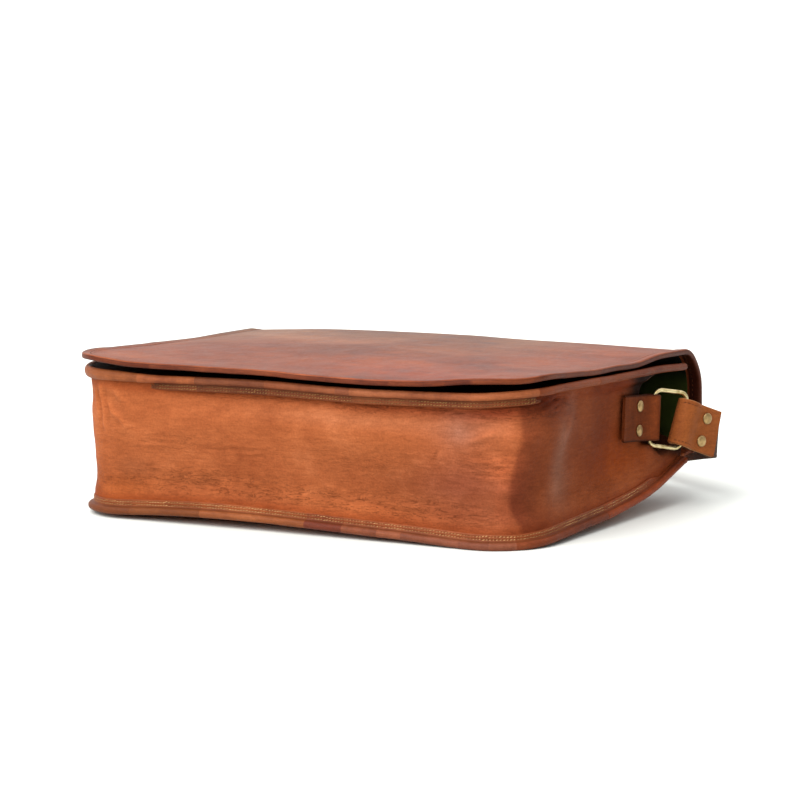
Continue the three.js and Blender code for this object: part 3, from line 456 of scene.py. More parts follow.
def along(rows, key, column, at):
    """One column of a table at a place in its key column, on a smooth curve through the rows."""
    keys, values = rows[key], rows[column]
    at = np.clip(at, keys[0], keys[-1])
    i = np.clip(np.searchsorted(keys, at, side="right") - 1, 0, len(keys) - 2)
    order = np.arange(len(keys))
    before = np.maximum(order - 1, 0)
    after = np.minimum(order + 1, len(keys) - 1)
    slope = (values[after] - values[before]) / (keys[after] - keys[before])
    span = keys[i + 1] - keys[i]
    f = (at - keys[i]) / span
    start = values[i] * (2 * f**3 - 3 * f**2 + 1) + values[i + 1] * (3 * f**2 - 2 * f**3)
    return start + span * (slope[i] * (f**3 - 2 * f**2 + f) + slope[i + 1] * (f**3 - f**2))


def field(points, layer, seed=0.0):
    """A layer of smooth noise at each point."""
    size, octaves, own_seed, depth, stretch = NOISE[layer]
    shift = Vector(NOISE_SHIFT) * (own_seed + seed)
    places = (np.asarray(points) * stretch / size).reshape(-1, 3)
    values = [noise.fractal(Vector(p) + shift, 1.0, 2.0, octaves) for p in places]
    return depth * np.array(values).reshape(np.shape(points)[:-1])


def spots(rows, s, t, column):
    """Sum of soft round spots from a table, at places s along and t across."""
    total = np.zeros(np.shape(s))
    for i, amount in enumerate(rows[column]):
        ds = (s - rows["s"][i]) / rows["reach_s"][i]
        dt = (t - rows["t"][i]) / rows["reach_t"][i]
        total += amount * np.exp(-ds**2 - dt**2)
    return total


def spot_tint(rows, s, t):
    return stacked(*(1 + spots(rows, s, t, c) for c in RGB))


def unit(vectors):
    return vectors / np.linalg.norm(vectors, axis=-1, keepdims=True)


def flipped(points):
    """Mirror image on the bag's other side."""
    return points * np.array((-1.0, 1.0, 1.0))


def lengths(path):
    """Length along a path at each of its points."""
    return np.concatenate([[0], np.cumsum(np.linalg.norm(np.diff(path, axis=0), axis=1))])


# Meshes


def piece(name, points, faces, material, nodes=(), tint=None, cracks=None):
    """One finished object that rides on the bag, with a tint and a share of cracks for each point."""
    mesh = bpy.data.meshes.new(name)
    mesh.from_pydata((points * MM).tolist(), [], [list(map(int, f)) for f in faces])
    shell = bmesh.new()
    shell.from_mesh(mesh)
    bmesh.ops.recalc_face_normals(shell, faces=shell.faces)
    shell.to_mesh(mesh)
    shell.free()
    mesh.shade_smooth()
    mesh.set_sharp_from_angle(angle=math.radians(SHARP_ANGLE))
    colours = np.ones((len(points), 4))
    if tint is not None:
        colours[:, :3] = tint
    layer = mesh.color_attributes.new("tint", "FLOAT_COLOR", "POINT")
    layer.data.foreach_set("color", colours.ravel())
    if cracks is not None:
        marks = mesh.attributes.new("cracks", "FLOAT", "POINT")
        marks.data.foreach_set("value", cracks)
    mesh.materials.append(material)
    made = bpy.data.objects.new(name, mesh)
    scene.collection.objects.link(made)
    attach(made, "root")
    if nodes:
        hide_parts(*nodes)
    return made


def grid_normals(grid):
    down = np.gradient(grid, axis=0)
    across = np.gradient(grid, axis=1)
    return unit(np.cross(across, down))


def wall(grid, inner):
    """Points and faces of a closed sheet between two grids of points."""
    rows, columns = grid.shape[:2]
    index = np.arange(rows * columns).reshape(rows, columns)
    quads = stacked(index[:-1, :-1], index[:-1, 1:], index[1:, 1:], index[1:, :-1]).reshape(-1, 4)
    rim = np.concatenate([index[0, :-1], index[:-1, -1], index[-1, :0:-1], index[:0:-1, 0]])
    past = np.roll(rim, -1)
    under = rows * columns
    edge = stacked(past, rim, rim + under, past + under)
    points = np.concatenate([grid.reshape(-1, 3), inner.reshape(-1, 3)])
    return points, [*quads, *(quads[:, ::-1] + under), *edge]


def sweep(rings, closed=False):
    """Points and faces of a tube through rings of points; an open one gets end caps."""
    stations, size = rings.shape[:2]
    index = np.arange(stations * size).reshape(stations, size)
    if closed:
        index = np.concatenate([index, index[:1]])
    turned = np.roll(index, -1, axis=1)
    quads = stacked(index[:-1], turned[:-1], turned[1:], index[1:]).reshape(-1, 4)
    caps = [] if closed else [index[0], index[-1][::-1]]
    return rings.reshape(-1, 3), [*quads, *caps]


def rings_on(points, out, up, section):
    """A section's points at each station of a path; the section may differ from station to station."""
    section = np.broadcast_to(section, (len(points), *np.shape(section)[-2:]))
    return points[:, None] + section[..., :1] * out[:, None] + section[..., 1:] * up[:, None]


def resampled(path, pitch, *others):
    """A path at even steps, with other values carried along it."""
    length = lengths(path)
    at = np.arange(pitch / 2, length[-1], pitch)
    return [stacked(*(np.interp(at, length, column) for column in v.T)) for v in (path, *others)]


def stitch_shape():
    """Points and faces of one thread, in half lengths along it and in radii across it and up."""
    points = [(-1, 0, -STITCH_DIP)]
    for reach, size in STITCH_RINGS:
        points += [(reach, size * across, size * high + size - 1) for across, high in circle(STITCH_SIDES)]
    points.append((1, 0, -STITCH_DIP))
    last = len(points) - 1
    ring = [(j, (j + 1) % STITCH_SIDES) for j in range(STITCH_SIDES)]
    faces = [(0, 1 + k, 1 + j) for j, k in ring]
    for start in range(1, last - STITCH_SIDES, STITCH_SIDES):
        past = start + STITCH_SIDES
        faces += [(start + j, start + k, past + k, past + j) for j, k in ring]
    faces += [(last, last - STITCH_SIDES + j, last - STITCH_SIDES + k) for j, k in ring]
    return np.array(points), faces


def stitches(name, rows, stitch, material, seed):
    """One object of short threads laid along rows of points with their normals."""
    random = np.random.default_rng(seed)
    loose = stitch.get("loose", STITCH_LOOSE)
    shape, shape_faces = stitch_shape()
    points = []
    for path, normals in rows:
        middle, up = resampled(path, stitch["pitch"], normals)
        ahead = unit(np.gradient(middle, axis=0))
        side = unit(np.cross(up, ahead))
        slant = stitch.get("slant", STITCH_SLANT) + random.normal(0, loose, len(middle))[:, None]
        ahead = unit(ahead + side * slant)
        side = unit(np.cross(up, ahead))
        up = unit(np.cross(ahead, side))
        half = stitch["length"] / 2 * (1 + random.normal(0, loose, len(middle))[:, None])
        middle = middle + side * random.normal(0, loose, len(middle))[:, None]
        thick = shape[:, 1:2] * side[:, None] + shape[:, 2:] * up[:, None]
        points.append(middle[:, None] + shape[:, :1] * (ahead * half)[:, None] + stitch["radius"] * thick)
    points = np.concatenate(points).reshape(-1, 3)
    faces = [[start + i for i in f] for start in range(0, len(points), len(shape)) for f in shape_faces]
    return piece(name, points, faces, material)


# Materials


class Shader:
    """Nodes of a material or of the world under construction."""

    def __init__(self, owner, surface="Principled BSDF", place="Object"):
        owner.use_nodes = True
        self.owner = owner
        self.tree = owner.node_tree
        self.surface = self.tree.nodes[surface]
        self.place = self.add("TexCoord", out=place)

    def add(self, kind, out=0, inputs=None, **settings):
        node = self.tree.nodes.new("ShaderNode" + kind)
        for key, value in settings.items():
            setattr(node, key, value)
        for key, value in (inputs or {}).items():
            self.put(node.inputs[key], value)
        return node.outputs[out]

    def put(self, socket, value):
        if isinstance(value, bpy.types.NodeSocket):
            self.tree.links.new(value, socket)
        else:
            socket.default_value = value

    def set(self, **inputs):
        for key, value in inputs.items():
            self.put(self.surface.inputs[key.replace("_", " ")], value)

    def stretched(self, scale, seed=0.0):
        shift = tuple(seed * way for way in SEED_SHIFT)
        return self.add("Mapping", inputs={"Vector": self.place, "Scale": scale, "Location": shift})

    def noise(self, scale, detail=4.0, roughness=0.6, distortion=0.0, place=None):
        return self.add("TexNoise", inputs={
            "Vector": place or self.place, "Scale": scale, "Detail": detail, "Roughness": roughness,
            "Distortion": distortion,
        })

    def mesh_value(self, name, out="Color"):
        return self.add("Attribute", out=out, attribute_name=name, attribute_type="GEOMETRY")

    def math(self, operation, a, b):
        return self.add("Math", operation=operation, inputs={0: a, 1: b})

    def total(self, *parts):
        """Sum of values, each times its own share."""
        level = 0.0
        for value, share in parts:
            level = self.math("ADD", level, self.math("MULTIPLY", value, share))
        return level

    def span(self, value, low, high, to_low, to_high):
        return self.add("MapRange", inputs={
            "Value": value, "From Min": low, "From Max": high, "To Min": to_low, "To Max": to_high,
        })

    def ramp(self, value, stops):
        socket = self.add("ValToRGB", inputs={"Fac": value})
        elements = socket.node.color_ramp.elements
        while len(elements) < len(stops):
            elements.new(0.5)
        for element, (position, colour) in zip(elements, stops):
            element.position = position
            element.color = (*colour, 1)
        return socket

    def mix(self, share, a, b, blend_type="MIX"):
        return self.add("Mix", out=2, data_type="RGBA", blend_type=blend_type, inputs={0: share, 6: a, 7: b})

    def times(self, a, b):
        return self.mix(1.0, a, b, "MULTIPLY")

    def bump(self, height, strength, distance, normal=None):
        inputs = {"Height": height, "Strength": strength, "Distance": distance}
        if normal is not None:
            inputs["Normal"] = normal
        return self.add("Bump", inputs=inputs)


def material(name):
    return Shader(bpy.data.materials.new(name))


def leather(name, tones, streak=(9, 9, 18), wiping=0.2, rough=(0.42, 0.6), specular=0.3, grain=0.25,
            seed=0.0):
    """Waxed leather: cloudy dye, wiped streaks, fine wrinkles and pores; tones run from dark to light."""
    s = material(name)
    clouds, patches, wiped, wrinkled, split = (
        s.noise(*look, s.stretched(stretch or streak, seed + shift)) for look, stretch, shift in DYE)
    pores = s.noise(*PORES)
    cells = s.add("TexVoronoi", feature="F1", inputs={"Vector": s.place, **CELLS})
    colouring = s.total((clouds, DYE_SHARE["clouds"] - wiping), (patches, DYE_SHARE["patches"]), (wiped, wiping),
                  (wrinkled, DYE_SHARE["wrinkles"]))
    colour = s.ramp(colouring, list(zip(np.linspace(*DYE_SPAN, len(tones)), tones)))
    speckle = s.math("MULTIPLY", s.span(pores, *PORE_SPECKLE), s.span(wrinkled, *FOLD_SPECKLE))
    colour = s.times(s.times(colour, speckle), s.mesh_value("tint"))
    off_line = s.math("ABSOLUTE", s.math("SUBTRACT", split, 0.5), 0.0)
    lines = s.span(off_line, 0.0, CRACK["width"], 1.0, 0.0)
    cracked = s.math("MULTIPLY", lines, s.mesh_value("cracks", "Fac"))
    colour = s.mix(s.math("MULTIPLY", cracked, CRACK["share"]), colour, CRACK["colour"])
    skin = s.bump(s.total((cells, GRAIN["cells"]), (pores, GRAIN["pores"])), grain, GRAIN["depth"])
    normal = s.bump(s.math("SUBTRACT", wrinkled, cracked), *FOLD_BUMP, skin)
    s.set(Base_Color=colour, Normal=normal, IOR=LEATHER_IOR, Specular_IOR_Level=specular)
    s.set(Roughness=s.span(s.math("ADD", patches, pores), *GLOSS_SPAN, *rough))
    return s.owner


def thread(name, light, dark):
    """Waxed thread with a twist and a little grime."""
    s = material(name)
    grime = s.noise(scale=60.0, detail=3.0)
    twist = s.add("TexWave", bands_direction="DIAGONAL", inputs={
        "Vector": s.place, "Scale": 900.0, "Distortion": 1.0})
    s.set(Base_Color=s.ramp(grime, [(0.35, dark), (0.62, light)]), Roughness=0.7, Specular_IOR_Level=0.08)
    s.set(Normal=s.bump(twist, strength=0.4, distance=0.0002))
    return s.owner


def canvas(name, warp, weft):
    """Plain-weave cotton, a thread every 0.8 mm."""
    s = material(name)
    look = {"Vector": s.place, "Scale": 390.0, "Distortion": 0.6, "Detail": 1.0}
    weave = s.math("MAXIMUM", *(s.add("TexWave", bands_direction=d, inputs=look) for d in ("X", "Z")))
    fade = s.noise(scale=35.0, detail=4.0)
    colour = s.mix(weave, s.ramp(fade, [(0.35, weft), (0.65, warp)]), (*warp, 1))
    s.set(Base_Color=s.times(colour, s.mesh_value("tint")), Roughness=0.95, Specular_IOR_Level=0.1)
    s.set(Normal=s.bump(weave, strength=0.6, distance=0.0004))
    return s.owner


def brass(name, bright, darker):
    """Antiqued brass, dull in patches, with fine handling scratches."""
    s = material(name)
    patches = s.noise(scale=240.0, detail=4.0, roughness=0.6)
    scratches = s.noise(scale=1.0, detail=3.0, roughness=0.7, distortion=0.2, place=s.stretched(SCRATCHES))
    s.set(Base_Color=s.ramp(patches, [(0.36, darker), (0.6, bright)]), Metallic=1.0)
    s.set(Roughness=s.span(s.math("ADD", patches, scratches), *GLOSS_SPAN, *BRASS_ROUGH))
    s.set(Normal=s.bump(scratches, strength=0.08, distance=0.0002))
    return s.owner


BODY = leather("body_leather", [
    (0.165, 0.037, 0.0115), (0.245, 0.062, 0.0195), (0.295, 0.08, 0.026), (0.365, 0.109, 0.039)],
    rough=(0.5, 0.65), specular=0.03, grain=0.35)
TOP = leather("flap_leather", FLAP_TONES, streak=(6, 22, 9), rough=(0.4, 0.55), specular=0.14, seed=2.0)
PANEL = leather("panel_leather", FLAP_TONES, rough=(0.6, 0.75), specular=0.02, seed=3.0)
EDGE = leather("binding_leather", [
    (0.135, 0.035, 0.013), (0.2, 0.058, 0.021), (0.25, 0.077, 0.029), (0.31, 0.105, 0.043)],
    streak=(60, 60, 8), wiping=0.15, specular=0.14, grain=0.3, seed=4.0)
SADDLE = leather("saddle_leather", [
    (0.158, 0.041, 0.0109), (0.224, 0.062, 0.016), (0.265, 0.076, 0.02), (0.308, 0.095, 0.028)],
    streak=(9, 9, 26), rough=(0.5, 0.65), specular=0.05, seed=6.0)
TAB_LEATHER = leather("tab_leather", [
    (0.057, 0.0112, 0.0031), (0.09, 0.0188, 0.0045), (0.116, 0.0248, 0.0061), (0.151, 0.0344, 0.0088)],
    streak=(9, 60, 6), wiping=0.35, rough=(0.55, 0.7), specular=0.06, seed=7.0)
GOLD_THREAD = thread("golden_thread", (0.55, 0.31, 0.13), (0.25, 0.11, 0.042))
# Thread of the front binding, darkened as painted shade under the flap
SHADED_THREAD = thread("shaded_thread", (0.3, 0.16, 0.055), (0.13, 0.056, 0.02))
DARK_THREAD = thread("brown_thread", (0.12, 0.034, 0.013), (0.05, 0.014, 0.006))
GREEN = canvas("green_canvas", (0.05, 0.066, 0.011), (0.02, 0.028, 0.005))
BRASS = brass("aged_brass", (0.74, 0.63, 0.36), (0.42, 0.32, 0.14))
BRONZE = brass("rivet_brass", (0.43, 0.29, 0.13), (0.25, 0.16, 0.07))


# The bag's outline from above and the levels of its walls


def outline(s):
    side = np.where(s < 0, -1.0, 1.0)
    d = np.abs(s)
    turn = np.clip((d - STRAIGHT) / CORNER_R, 0, math.pi / 2)
    nx = side * np.sin(turn)
    ny = -np.cos(turn)
    x = side * np.minimum(d, STRAIGHT) + CORNER_R * nx
    y = ARC_Y + CORNER_R * ny + np.maximum(d - STRAIGHT - ARC, 0)
    return x, y, nx, ny


def low_edge(s):
    return np.maximum(along(EDGE_LEVELS, "s", "low", s), 0)


def top_edge(s):
    return along(EDGE_LEVELS, "s", "top", s)


def hem_lift(y):
    return HEM_LIFT * smooth(HEM["y"] - HEM["lift_from"], HEM["y"] - HEM["lift_to"], y)


def nearest_stop(x, y):
    """Path length on the outline of the edge point next to a place on a panel."""
    side = np.where(x < 0, -1.0, 1.0)
    dx = np.abs(x) - STRAIGHT
    dy = ARC_Y - y
    by_side = side * (STRAIGHT + ARC - dy)
    by_bottom = x * STRAIGHT / HALF
    above = np.where(HALF - np.abs(x) < y - BOTTOM_Y, by_side, by_bottom)
    turned = side * (STRAIGHT + CORNER_R * np.arctan2(np.maximum(dx, 0), np.maximum(dy, TINY)))
    return np.where(dy <= 0, above, np.where(dx <= 0, x, turned))


def edge_distance(x, y):
    dx = np.abs(x) - STRAIGHT
    dy = ARC_Y - y
    corner = CORNER_R - np.hypot(dx, dy)
    return np.where((dx > 0) & (dy > 0), corner, np.minimum(HALF - np.abs(x), y - BOTTOM_Y))


def eased(edge, middle, x, y):
    return blend(middle, edge, 1 - smooth(0, CORNER_R, edge_distance(x, y)))


def back_level(x, y):
    rise = along(BACK_RISE, "y", "rise", y)
    edge = np.maximum(low_edge(nearest_stop(x, y)) + PANEL_INSET, rise)
    return eased(edge, rise, x, y) + hem_lift(y)


def front_level(x, y):
    middle = FRONT_LEVEL - FRONT_FALL * smooth(0, MOUTH_Y, y)
    return eased(top_edge(nearest_stop(x, y)) - PANEL_INSET, middle - PANEL_INSET, x, y)


def rounded_half(half, radius, inset):
    short = radius - np.clip(inset, 0, radius)
    return half - radius + np.sqrt(radius * radius - short * short)


def rounded_rows(edge, radius, end, corner_steps, step):
    """Rows of a panel from its rounded edge inwards, close together round the corners."""
    sign = np.sign(end - edge)
    corner = edge + sign * radius * (1 - np.cos(np.linspace(0, math.pi / 2, corner_steps)))
    count = round(abs(end - corner[-1]) / step)
    return np.concatenate([corner, np.linspace(corner[-1], end, count + 1)[1:]])


# Body walls


def panel(node, level, end_y, direction, material):
    edge = BOTTOM_Y - SEAM_N
    y = rounded_rows(edge, CORNER_R, end_y, STEPS["panel_corner"], PANEL_STEP)[:, None]
    reach = rounded_half(HALF + SEAM_N, CORNER_R, y - edge)
    x = np.linspace(1, -1, STEPS["panel_across"])[None] * reach
    y = np.broadcast_to(y, x.shape)
    grid = stacked(x, y, level(x, y))
    points, faces = wall(grid, grid + np.array((0, 0, direction * PANEL_T)))
    # Painted shade under the flap, darkest at the front panel's edge
    rim = blend(RIM_SHADE["least"], 1, smooth(*RIM_SHADE["in"], edge_distance(*points[:, :2].T)))
    tint = rim[:, None] if direction < 0 else None
    return piece(node + "_leather", points, faces, material, [node], tint)


def flange_shown(s):
    """How far the front binding's flange shows beside the gusset that wells over it."""
    return (1 - smooth(*WELL["right"], s)) * smooth(*WELL["left"], s)


def gusset_out(s, t, y):
    """How far the gusset stands out of the outline, and where the tab presses it flat."""
    wave = along(GUSSET_WAVE, "t", "out", t) * along(SLACK, "s", "share", s)
    on_side = np.abs(s) > STRAIGHT + ARC
    calm = np.where(on_side, 1 - CALM["share"] * smooth(CALM["from"], CALM["to"], y), 1)
    spread = blend(*FOLD["spread"], smooth(*FOLD["y"], y))
    foot = blend(*FOLD["foot"], smooth(*FOLD["foot_y"], y))
    lift = np.maximum(t - foot, 0) / (1 - foot)
    fold = 1 - np.minimum(np.abs(2 * lift - 1) / spread, 1) ** FOLD["power"]
    depth = np.where(on_side, along(MOUTH_FOLD, "y", "depth", y), 0)
    slack = SEAM_N + wave * calm - depth * fold
    pressed = np.where(on_side, between(*PAD["y"], y), 0) * between(*PAD["t"], t)
    tab_in = (TAB_BAR[1] - y) * math.tan(math.radians(90 - TAB["heading"])) + TAB["layer"] + 1.5 * GAP
    return blend(slack, TAB_BAR[0] - HALF - tab_in, pressed), pressed


def creases(s, z):
    """Depth outwards of the single creases, each with a low bank on both sides."""
    total = np.zeros_like(s)
    for s1, z1, s2, z2, out, width in zip(*CREASES.values()):
        ds, dz = s2 - s1, z2 - z1
        f = ((s - s1) * ds + (z - z1) * dz) / (ds * ds + dz * dz)
        near = np.clip(f, 0, 1)
        away = np.hypot(s - s1 - near * ds, z - z1 - near * dz) / width
        bank = 1 - away**2 if width < BOLD_CREASE else 1
        total += out * bank * np.exp(-(away**2) / 2) * between(*CREASE_ENDS, f)
    return total


def gusset_tint(s, t, z, sway, tone_marks):
    """Colour of the gusset: dye and wear patches mixed with painted light, painted shade past the corner
    fold, painted shadow beside the mouth and painted shade along the seams.
    """
    past = s + sway - along(CORNER_FOLD, "z", "s", z)
    turned = smooth(*CORNER_SHADE["edge"], past) * (1 - smooth(*CORNER_SHADE["fade"], past))
    over = z - along(MOUTH_LINE, "s", "z", np.abs(s))
    high = smooth(*MOUTH_SHADE["z"], z)
    shaded = smooth(*MOUTH_SHADE["s"], np.abs(s) + MOUTH_SHADE["earlier"] * high)
    shaded = shaded * smooth(*MOUTH_SHADE["edge"], over) * blend(*MOUTH_SHADE["loss"], high)
    seam = 1 - between(*SEAM_SHADE["t"], t)
    tint = spot_tint(WEAR_AND_PAINTED_LIGHT, s, t) * (tone_marks * (1 - shaded))[..., None]
    return tint * (1 - turned[..., None] * CORNER_SHADE["loss"]) * (1 - seam[..., None] * SEAM_SHADE["loss"])


def gusset():
    coarse = np.linspace(-PATH_END, FINE_FROM, STEPS["gusset_left"])[:-1]
    stops = np.concatenate([coarse, np.linspace(FINE_FROM, PATH_END, STEPS["gusset"])])
    s, t = np.meshgrid(stops, np.linspace(0, 1, STEPS["gusset_up"]))
    x, y, nx, ny = outline(s)
    low = low_edge(s) + PANEL_INSET + PANEL_T + 2 * GAP + hem_lift(y)
    top = top_edge(s) - PANEL_INSET - PANEL_T - 2 * GAP
    z = blend(low, top, t)
    out, pressed = gusset_out(s, t, y)
    flat = stacked(s, 0.0, z)
    wrinkled = spots(WRINKLES, s, t, "depth")
    fine = wrinkled * (field(flat, "wrinkles") - WRINKLE_LEVEL)
    sway = field(flat, "sway")
    single = creases(s + sway, z + sway)
    pucker = spots(PUCKERS, s, t, "depth") * field(flat, "puckers")
    soft = field(flat, "soft") + field(flat, "softer") + pucker + spots(DENTS, s, t, "out")
    out = out + soft * between(*SOFT_FROM, t) * (1 - pressed)
    out = out + (fine * smooth(*WRINKLED_FROM, t) + single) * (1 - pressed)
    out = out + WELL["out"] * (1 - flange_shown(s)) * smooth(*WELL["t"], t) * (1 - smooth(*FOLD["y"], y))
    grid = stacked(x + nx * out, y + ny * out, z)
    points, faces = wall(grid, grid - grid_normals(grid) * GUSSET_T)
    # Painted shade in the hollows of the fine wrinkles and the creases, painted highlight on the creases that
    # stand out
    tone_marks = (1 - FINE_DARK * np.clip(-fine, 0, 1)) * (1 + CREASE_LIGHT_AND_SHADE * np.clip(single, -1, 1))
    tint = gusset_tint(s, t, z, sway, tone_marks).reshape(-1, 3)
    cracks = np.clip(CRACKED * wrinkled, 0, 1).ravel()
    return piece("gusset_leather", points, faces, BODY, ["gusset"], np.tile(tint, (2, 1)),
                 np.tile(cracks, 2))


# Bound edges


def strip_tint(strips, at):
    """Tint and the small step where a strip laps over the last one, at places along a path."""
    i = np.searchsorted(strips["start"], at, side="right") - 1
    past = at - strips["start"][i]
    return stacked(*(strips[c][i] for c in RGB)), LAP["step"] * np.exp(-past / LAP["fade"])


def edge_binding(node, level, sign, strips, seed, shown, darker, sewing):
    laps = strips["start"][1:]
    s = np.union1d(np.linspace(-PATH_END, PATH_END, STEPS["binding"]),
                   np.concatenate([laps - LAP["gap"], laps + LAP["gap"]]))
    x, y, nx, ny = outline(s)
    base = stacked(x, y, level(s))
    out = stacked(nx, ny, 0.0)
    up = np.broadcast_to(np.array((0.0, 0.0, sign)), out.shape)
    angles = np.radians(np.linspace(BEAD["from"], BEAD["to"], BEAD["steps"]))
    roll = stacked(BEAD["n"] + BEAD["half_n"] * np.cos(angles), BEAD["z"] + BEAD["half_z"] * np.sin(angles))
    section = np.concatenate([roll, np.array(FLANGE_FACE)])
    on_roll = np.arange(len(section)) < len(roll)
    on_flange = 1 - on_roll
    hidden = 1 - shown(s)
    ways = stacked(s, 0.0, seed)
    tint, lap = strip_tint(strips, s)
    sections = np.repeat(section[None], len(s), 0)
    middle = np.array((BEAD["n"] - BEAD["inside"], BEAD["z"]))
    swell = np.outer(field(ways, "roll", seed) + lap * LAP["swell"], on_roll)[..., None]
    sections = sections + (sections - middle) * swell
    fuller = FULL_ROLL["share"] * (1 - smooth(*FULL_ROLL["s"], s)) * (sign < 0)
    sections[..., 1] *= 1 + np.outer(fuller, on_roll)
    sections[..., 0] += np.outer(lap * LAP["rise"], on_flange * (section[:, 0] > LAP["over"]))
    sections[..., 0] -= np.outer(hidden * FLANGE_SINK, on_flange)
    sections[..., 1] = np.maximum(sections[..., 1], 0)
    ended = np.outer(smooth(*MOUTH_END, np.abs(s)), on_flange)
    sections[..., 1] += ended * np.minimum(BEAD["z"] + BEAD["half_z"] - sections[..., 1], 0)
    lean = field(ways, "lean", seed)[:, None]
    points, faces = sweep(rings_on(base + out * lean, out, up, sections))
    n, z = section.T
    # Painted shade in the crease between roll and flange and in the stitch grooves
    in_crease = bell(z - ROLL_CREASE["z"], ROLL_CREASE["width"]) * (n < ROLL_CREASE["under"])
    in_row = np.max([bell(z - row, FLANGE_GROOVE["width"]) for row in FLANGE_ROWS], axis=0)
    groove = 1 - ROLL_CREASE["loss"] * in_crease - FLANGE_GROOVE["loss"] * in_row
    # The flange's tint, darkened for the front binding as painted shade under the flap
    flange = (1 + tint[:, None]) / 2 * np.array(FLANGE_TINT) * darker
    shade = np.where(on_roll[:, None], tint[:, None], flange) * groove[None, :, None]
    # Painted highlight along the roll's lower edge where the flange is hidden
    foot = on_roll * smooth(*ROLL_FOOT["angle"], np.arange(len(section)) / len(roll))
    shade = shade * (1 + np.outer(hidden * (s > 0), foot)[..., None] * ROLL_FOOT["tint"])
    made = piece(node + "_leather", points, faces, EDGE, [node], shade.reshape(-1, 3))
    sewn = (hidden < 0.5) & (np.abs(s) < MOUTH_END[0])
    face = base + out * (lean + FLANGE_STITCH["rise"])
    rows = [((face + up * row)[sewn], out[sewn]) for row in FLANGE_ROWS]
    stitches(node + "_leather_stitching", rows, FLANGE_STITCH, sewing, int(seed))
    return made


# Flap: hem, spine, top and its bound edge


def flap_rows():
    """The flap's profile from its hem round the spine to its front edge, and where parts of it start."""
    tilt = math.atan(SPINE_FOOT["slope"])
    r, top_r = SPINE_FOOT["r"], SPINE_TOP["r"]
    foot_y = SPINE_Y - r
    start_y = foot_y + r * math.sin(tilt)
    foot_z = SPINE_FOOT["z"] + (start_y - SPINE_FOOT["y"]) * SPINE_FOOT["slope"] + r * math.cos(tilt)
    top_y = SPINE_Y - top_r
    top_z = SPINE_TOP["z"] - top_r
    hem = np.linspace(HEM["y"], SPINE_FOOT["y"], STEPS["hem"])[:-1]
    foot = np.linspace(tilt - math.pi / 2, 0, STEPS["spine_foot"])
    spine = np.linspace(foot_z, top_z, STEPS["spine"])[1:-1]
    top = np.linspace(0, math.pi / 2, STEPS["spine_top"])
    flat = np.linspace(top_y, FLAP_FRONT_Y + FLAP_CORNER_R, STEPS["flap"])[1:]
    corner = np.linspace(math.pi / 2, 0, STEPS["flap_corner"])[1:]
    y = np.concatenate([
        hem, foot_y + r * np.cos(foot), np.full_like(spine, SPINE_Y), top_y + top_r * np.cos(top), flat,
        FLAP_FRONT_Y + FLAP_CORNER_R * (1 - np.cos(corner)),
    ])
    z = np.concatenate([
        along(BACK_RISE, "y", "rise", hem), foot_z + r * np.sin(foot), spine, top_z + top_r * np.sin(top),
        np.full(len(flat) + len(corner), SPINE_TOP["z"]),
    ])
    return y, z, len(hem) + BOUND_FROM, len(hem) + LINED_FROM


def flap_half(y, z):
    front = rounded_half(FLAP_HALF, FLAP_CORNER_R, y - FLAP_FRONT_Y)
    above_hem = smooth(SPINE_FOOT["z"], SPINE_FOOT["z"] + SPINE_FOOT["widening"], z)
    return blend(HEM["half"], front, above_hem)


def flap_surface(x, y, z):
    on_top = smooth(SPINE_TOP["z"] - SPINE_TOP["fade"], SPINE_TOP["z"], z)
    top_y = SPINE_Y - SPINE_TOP["r"]
    rise = FLAP_RISE * np.maximum((top_y - y) / (top_y - FLAP_FRONT_Y), 0)
    front = along(FRONT_WAVE, "x", "lift", x) * np.exp(-(y - FLAP_FRONT_Y) / EDGE_WAVE_REACH)
    edge = np.where(x > 0, along(SIDE_WAVE, "y", "right", y), along(SIDE_WAVE, "y", "left", y))
    inset = np.maximum(FLAP_HALF - np.abs(x), 0)
    away = smooth(FLAP_FRONT_Y, FLAP_FRONT_Y + EDGE_WAVE_REACH, y)
    crown = along(CROWN, "x", "lift", x) * smooth(*CROWN_FADE, y)
    level = z + on_top * (rise + front + edge * np.exp(-inset / EDGE_WAVE_REACH) * away + crown)
    return stacked(x, y, level)


def flap_normals(x, y, z):
    """Directions out of the flap's face, from small steps along and across its profile."""
    step = 0.5
    along_y, along_z = np.gradient(y, axis=0), np.gradient(z, axis=0)
    length = np.hypot(along_y, along_z)
    dy, dz = step * along_y / length, step * along_z / length
    down = flap_surface(x, y + dy, z + dz) - flap_surface(x, y - dy, z - dz)
    across = flap_surface(x - step, y, z) - flap_surface(x + step, y, z)
    return unit(np.cross(across, down))


def flap_grid():
    y, z, free, lined = flap_rows()
    x = np.linspace(1, -1, STEPS["flap_across"])[None] * flap_half(y, z)[:, None]
    y, z = (np.broadcast_to(v[:, None], x.shape) for v in (y, z))
    grid = flap_surface(x, y, z)
    normals = flap_normals(x, y, z)
    loose = smooth(*FLAP_LOOSE, y) * (z > TOP_FROM)
    grid[..., 2] += (field(grid, "flap") + field(grid, "flap_fine")) * loose
    return grid, normals, free, lined


def flap_tint(points):
    """The flap's tint: a painted sheen that greys it towards its spine, with a few wiped patches."""
    x, y, z = np.moveaxis(points, -1, 0)
    on_top = smooth(SPINE_TOP["z"] - SPINE_TOP["r"], SPINE_TOP["z"], z)
    sheen_share = smooth(*FLAP_SHEEN["y"], y) * (1 - smooth(*FLAP_SHEEN["x"], x)) * on_top
    return blend(1, np.array(FLAP_SHEEN["tint"]), sheen_share[..., None]) * spot_tint(FLAP_PATCHES, x, y)


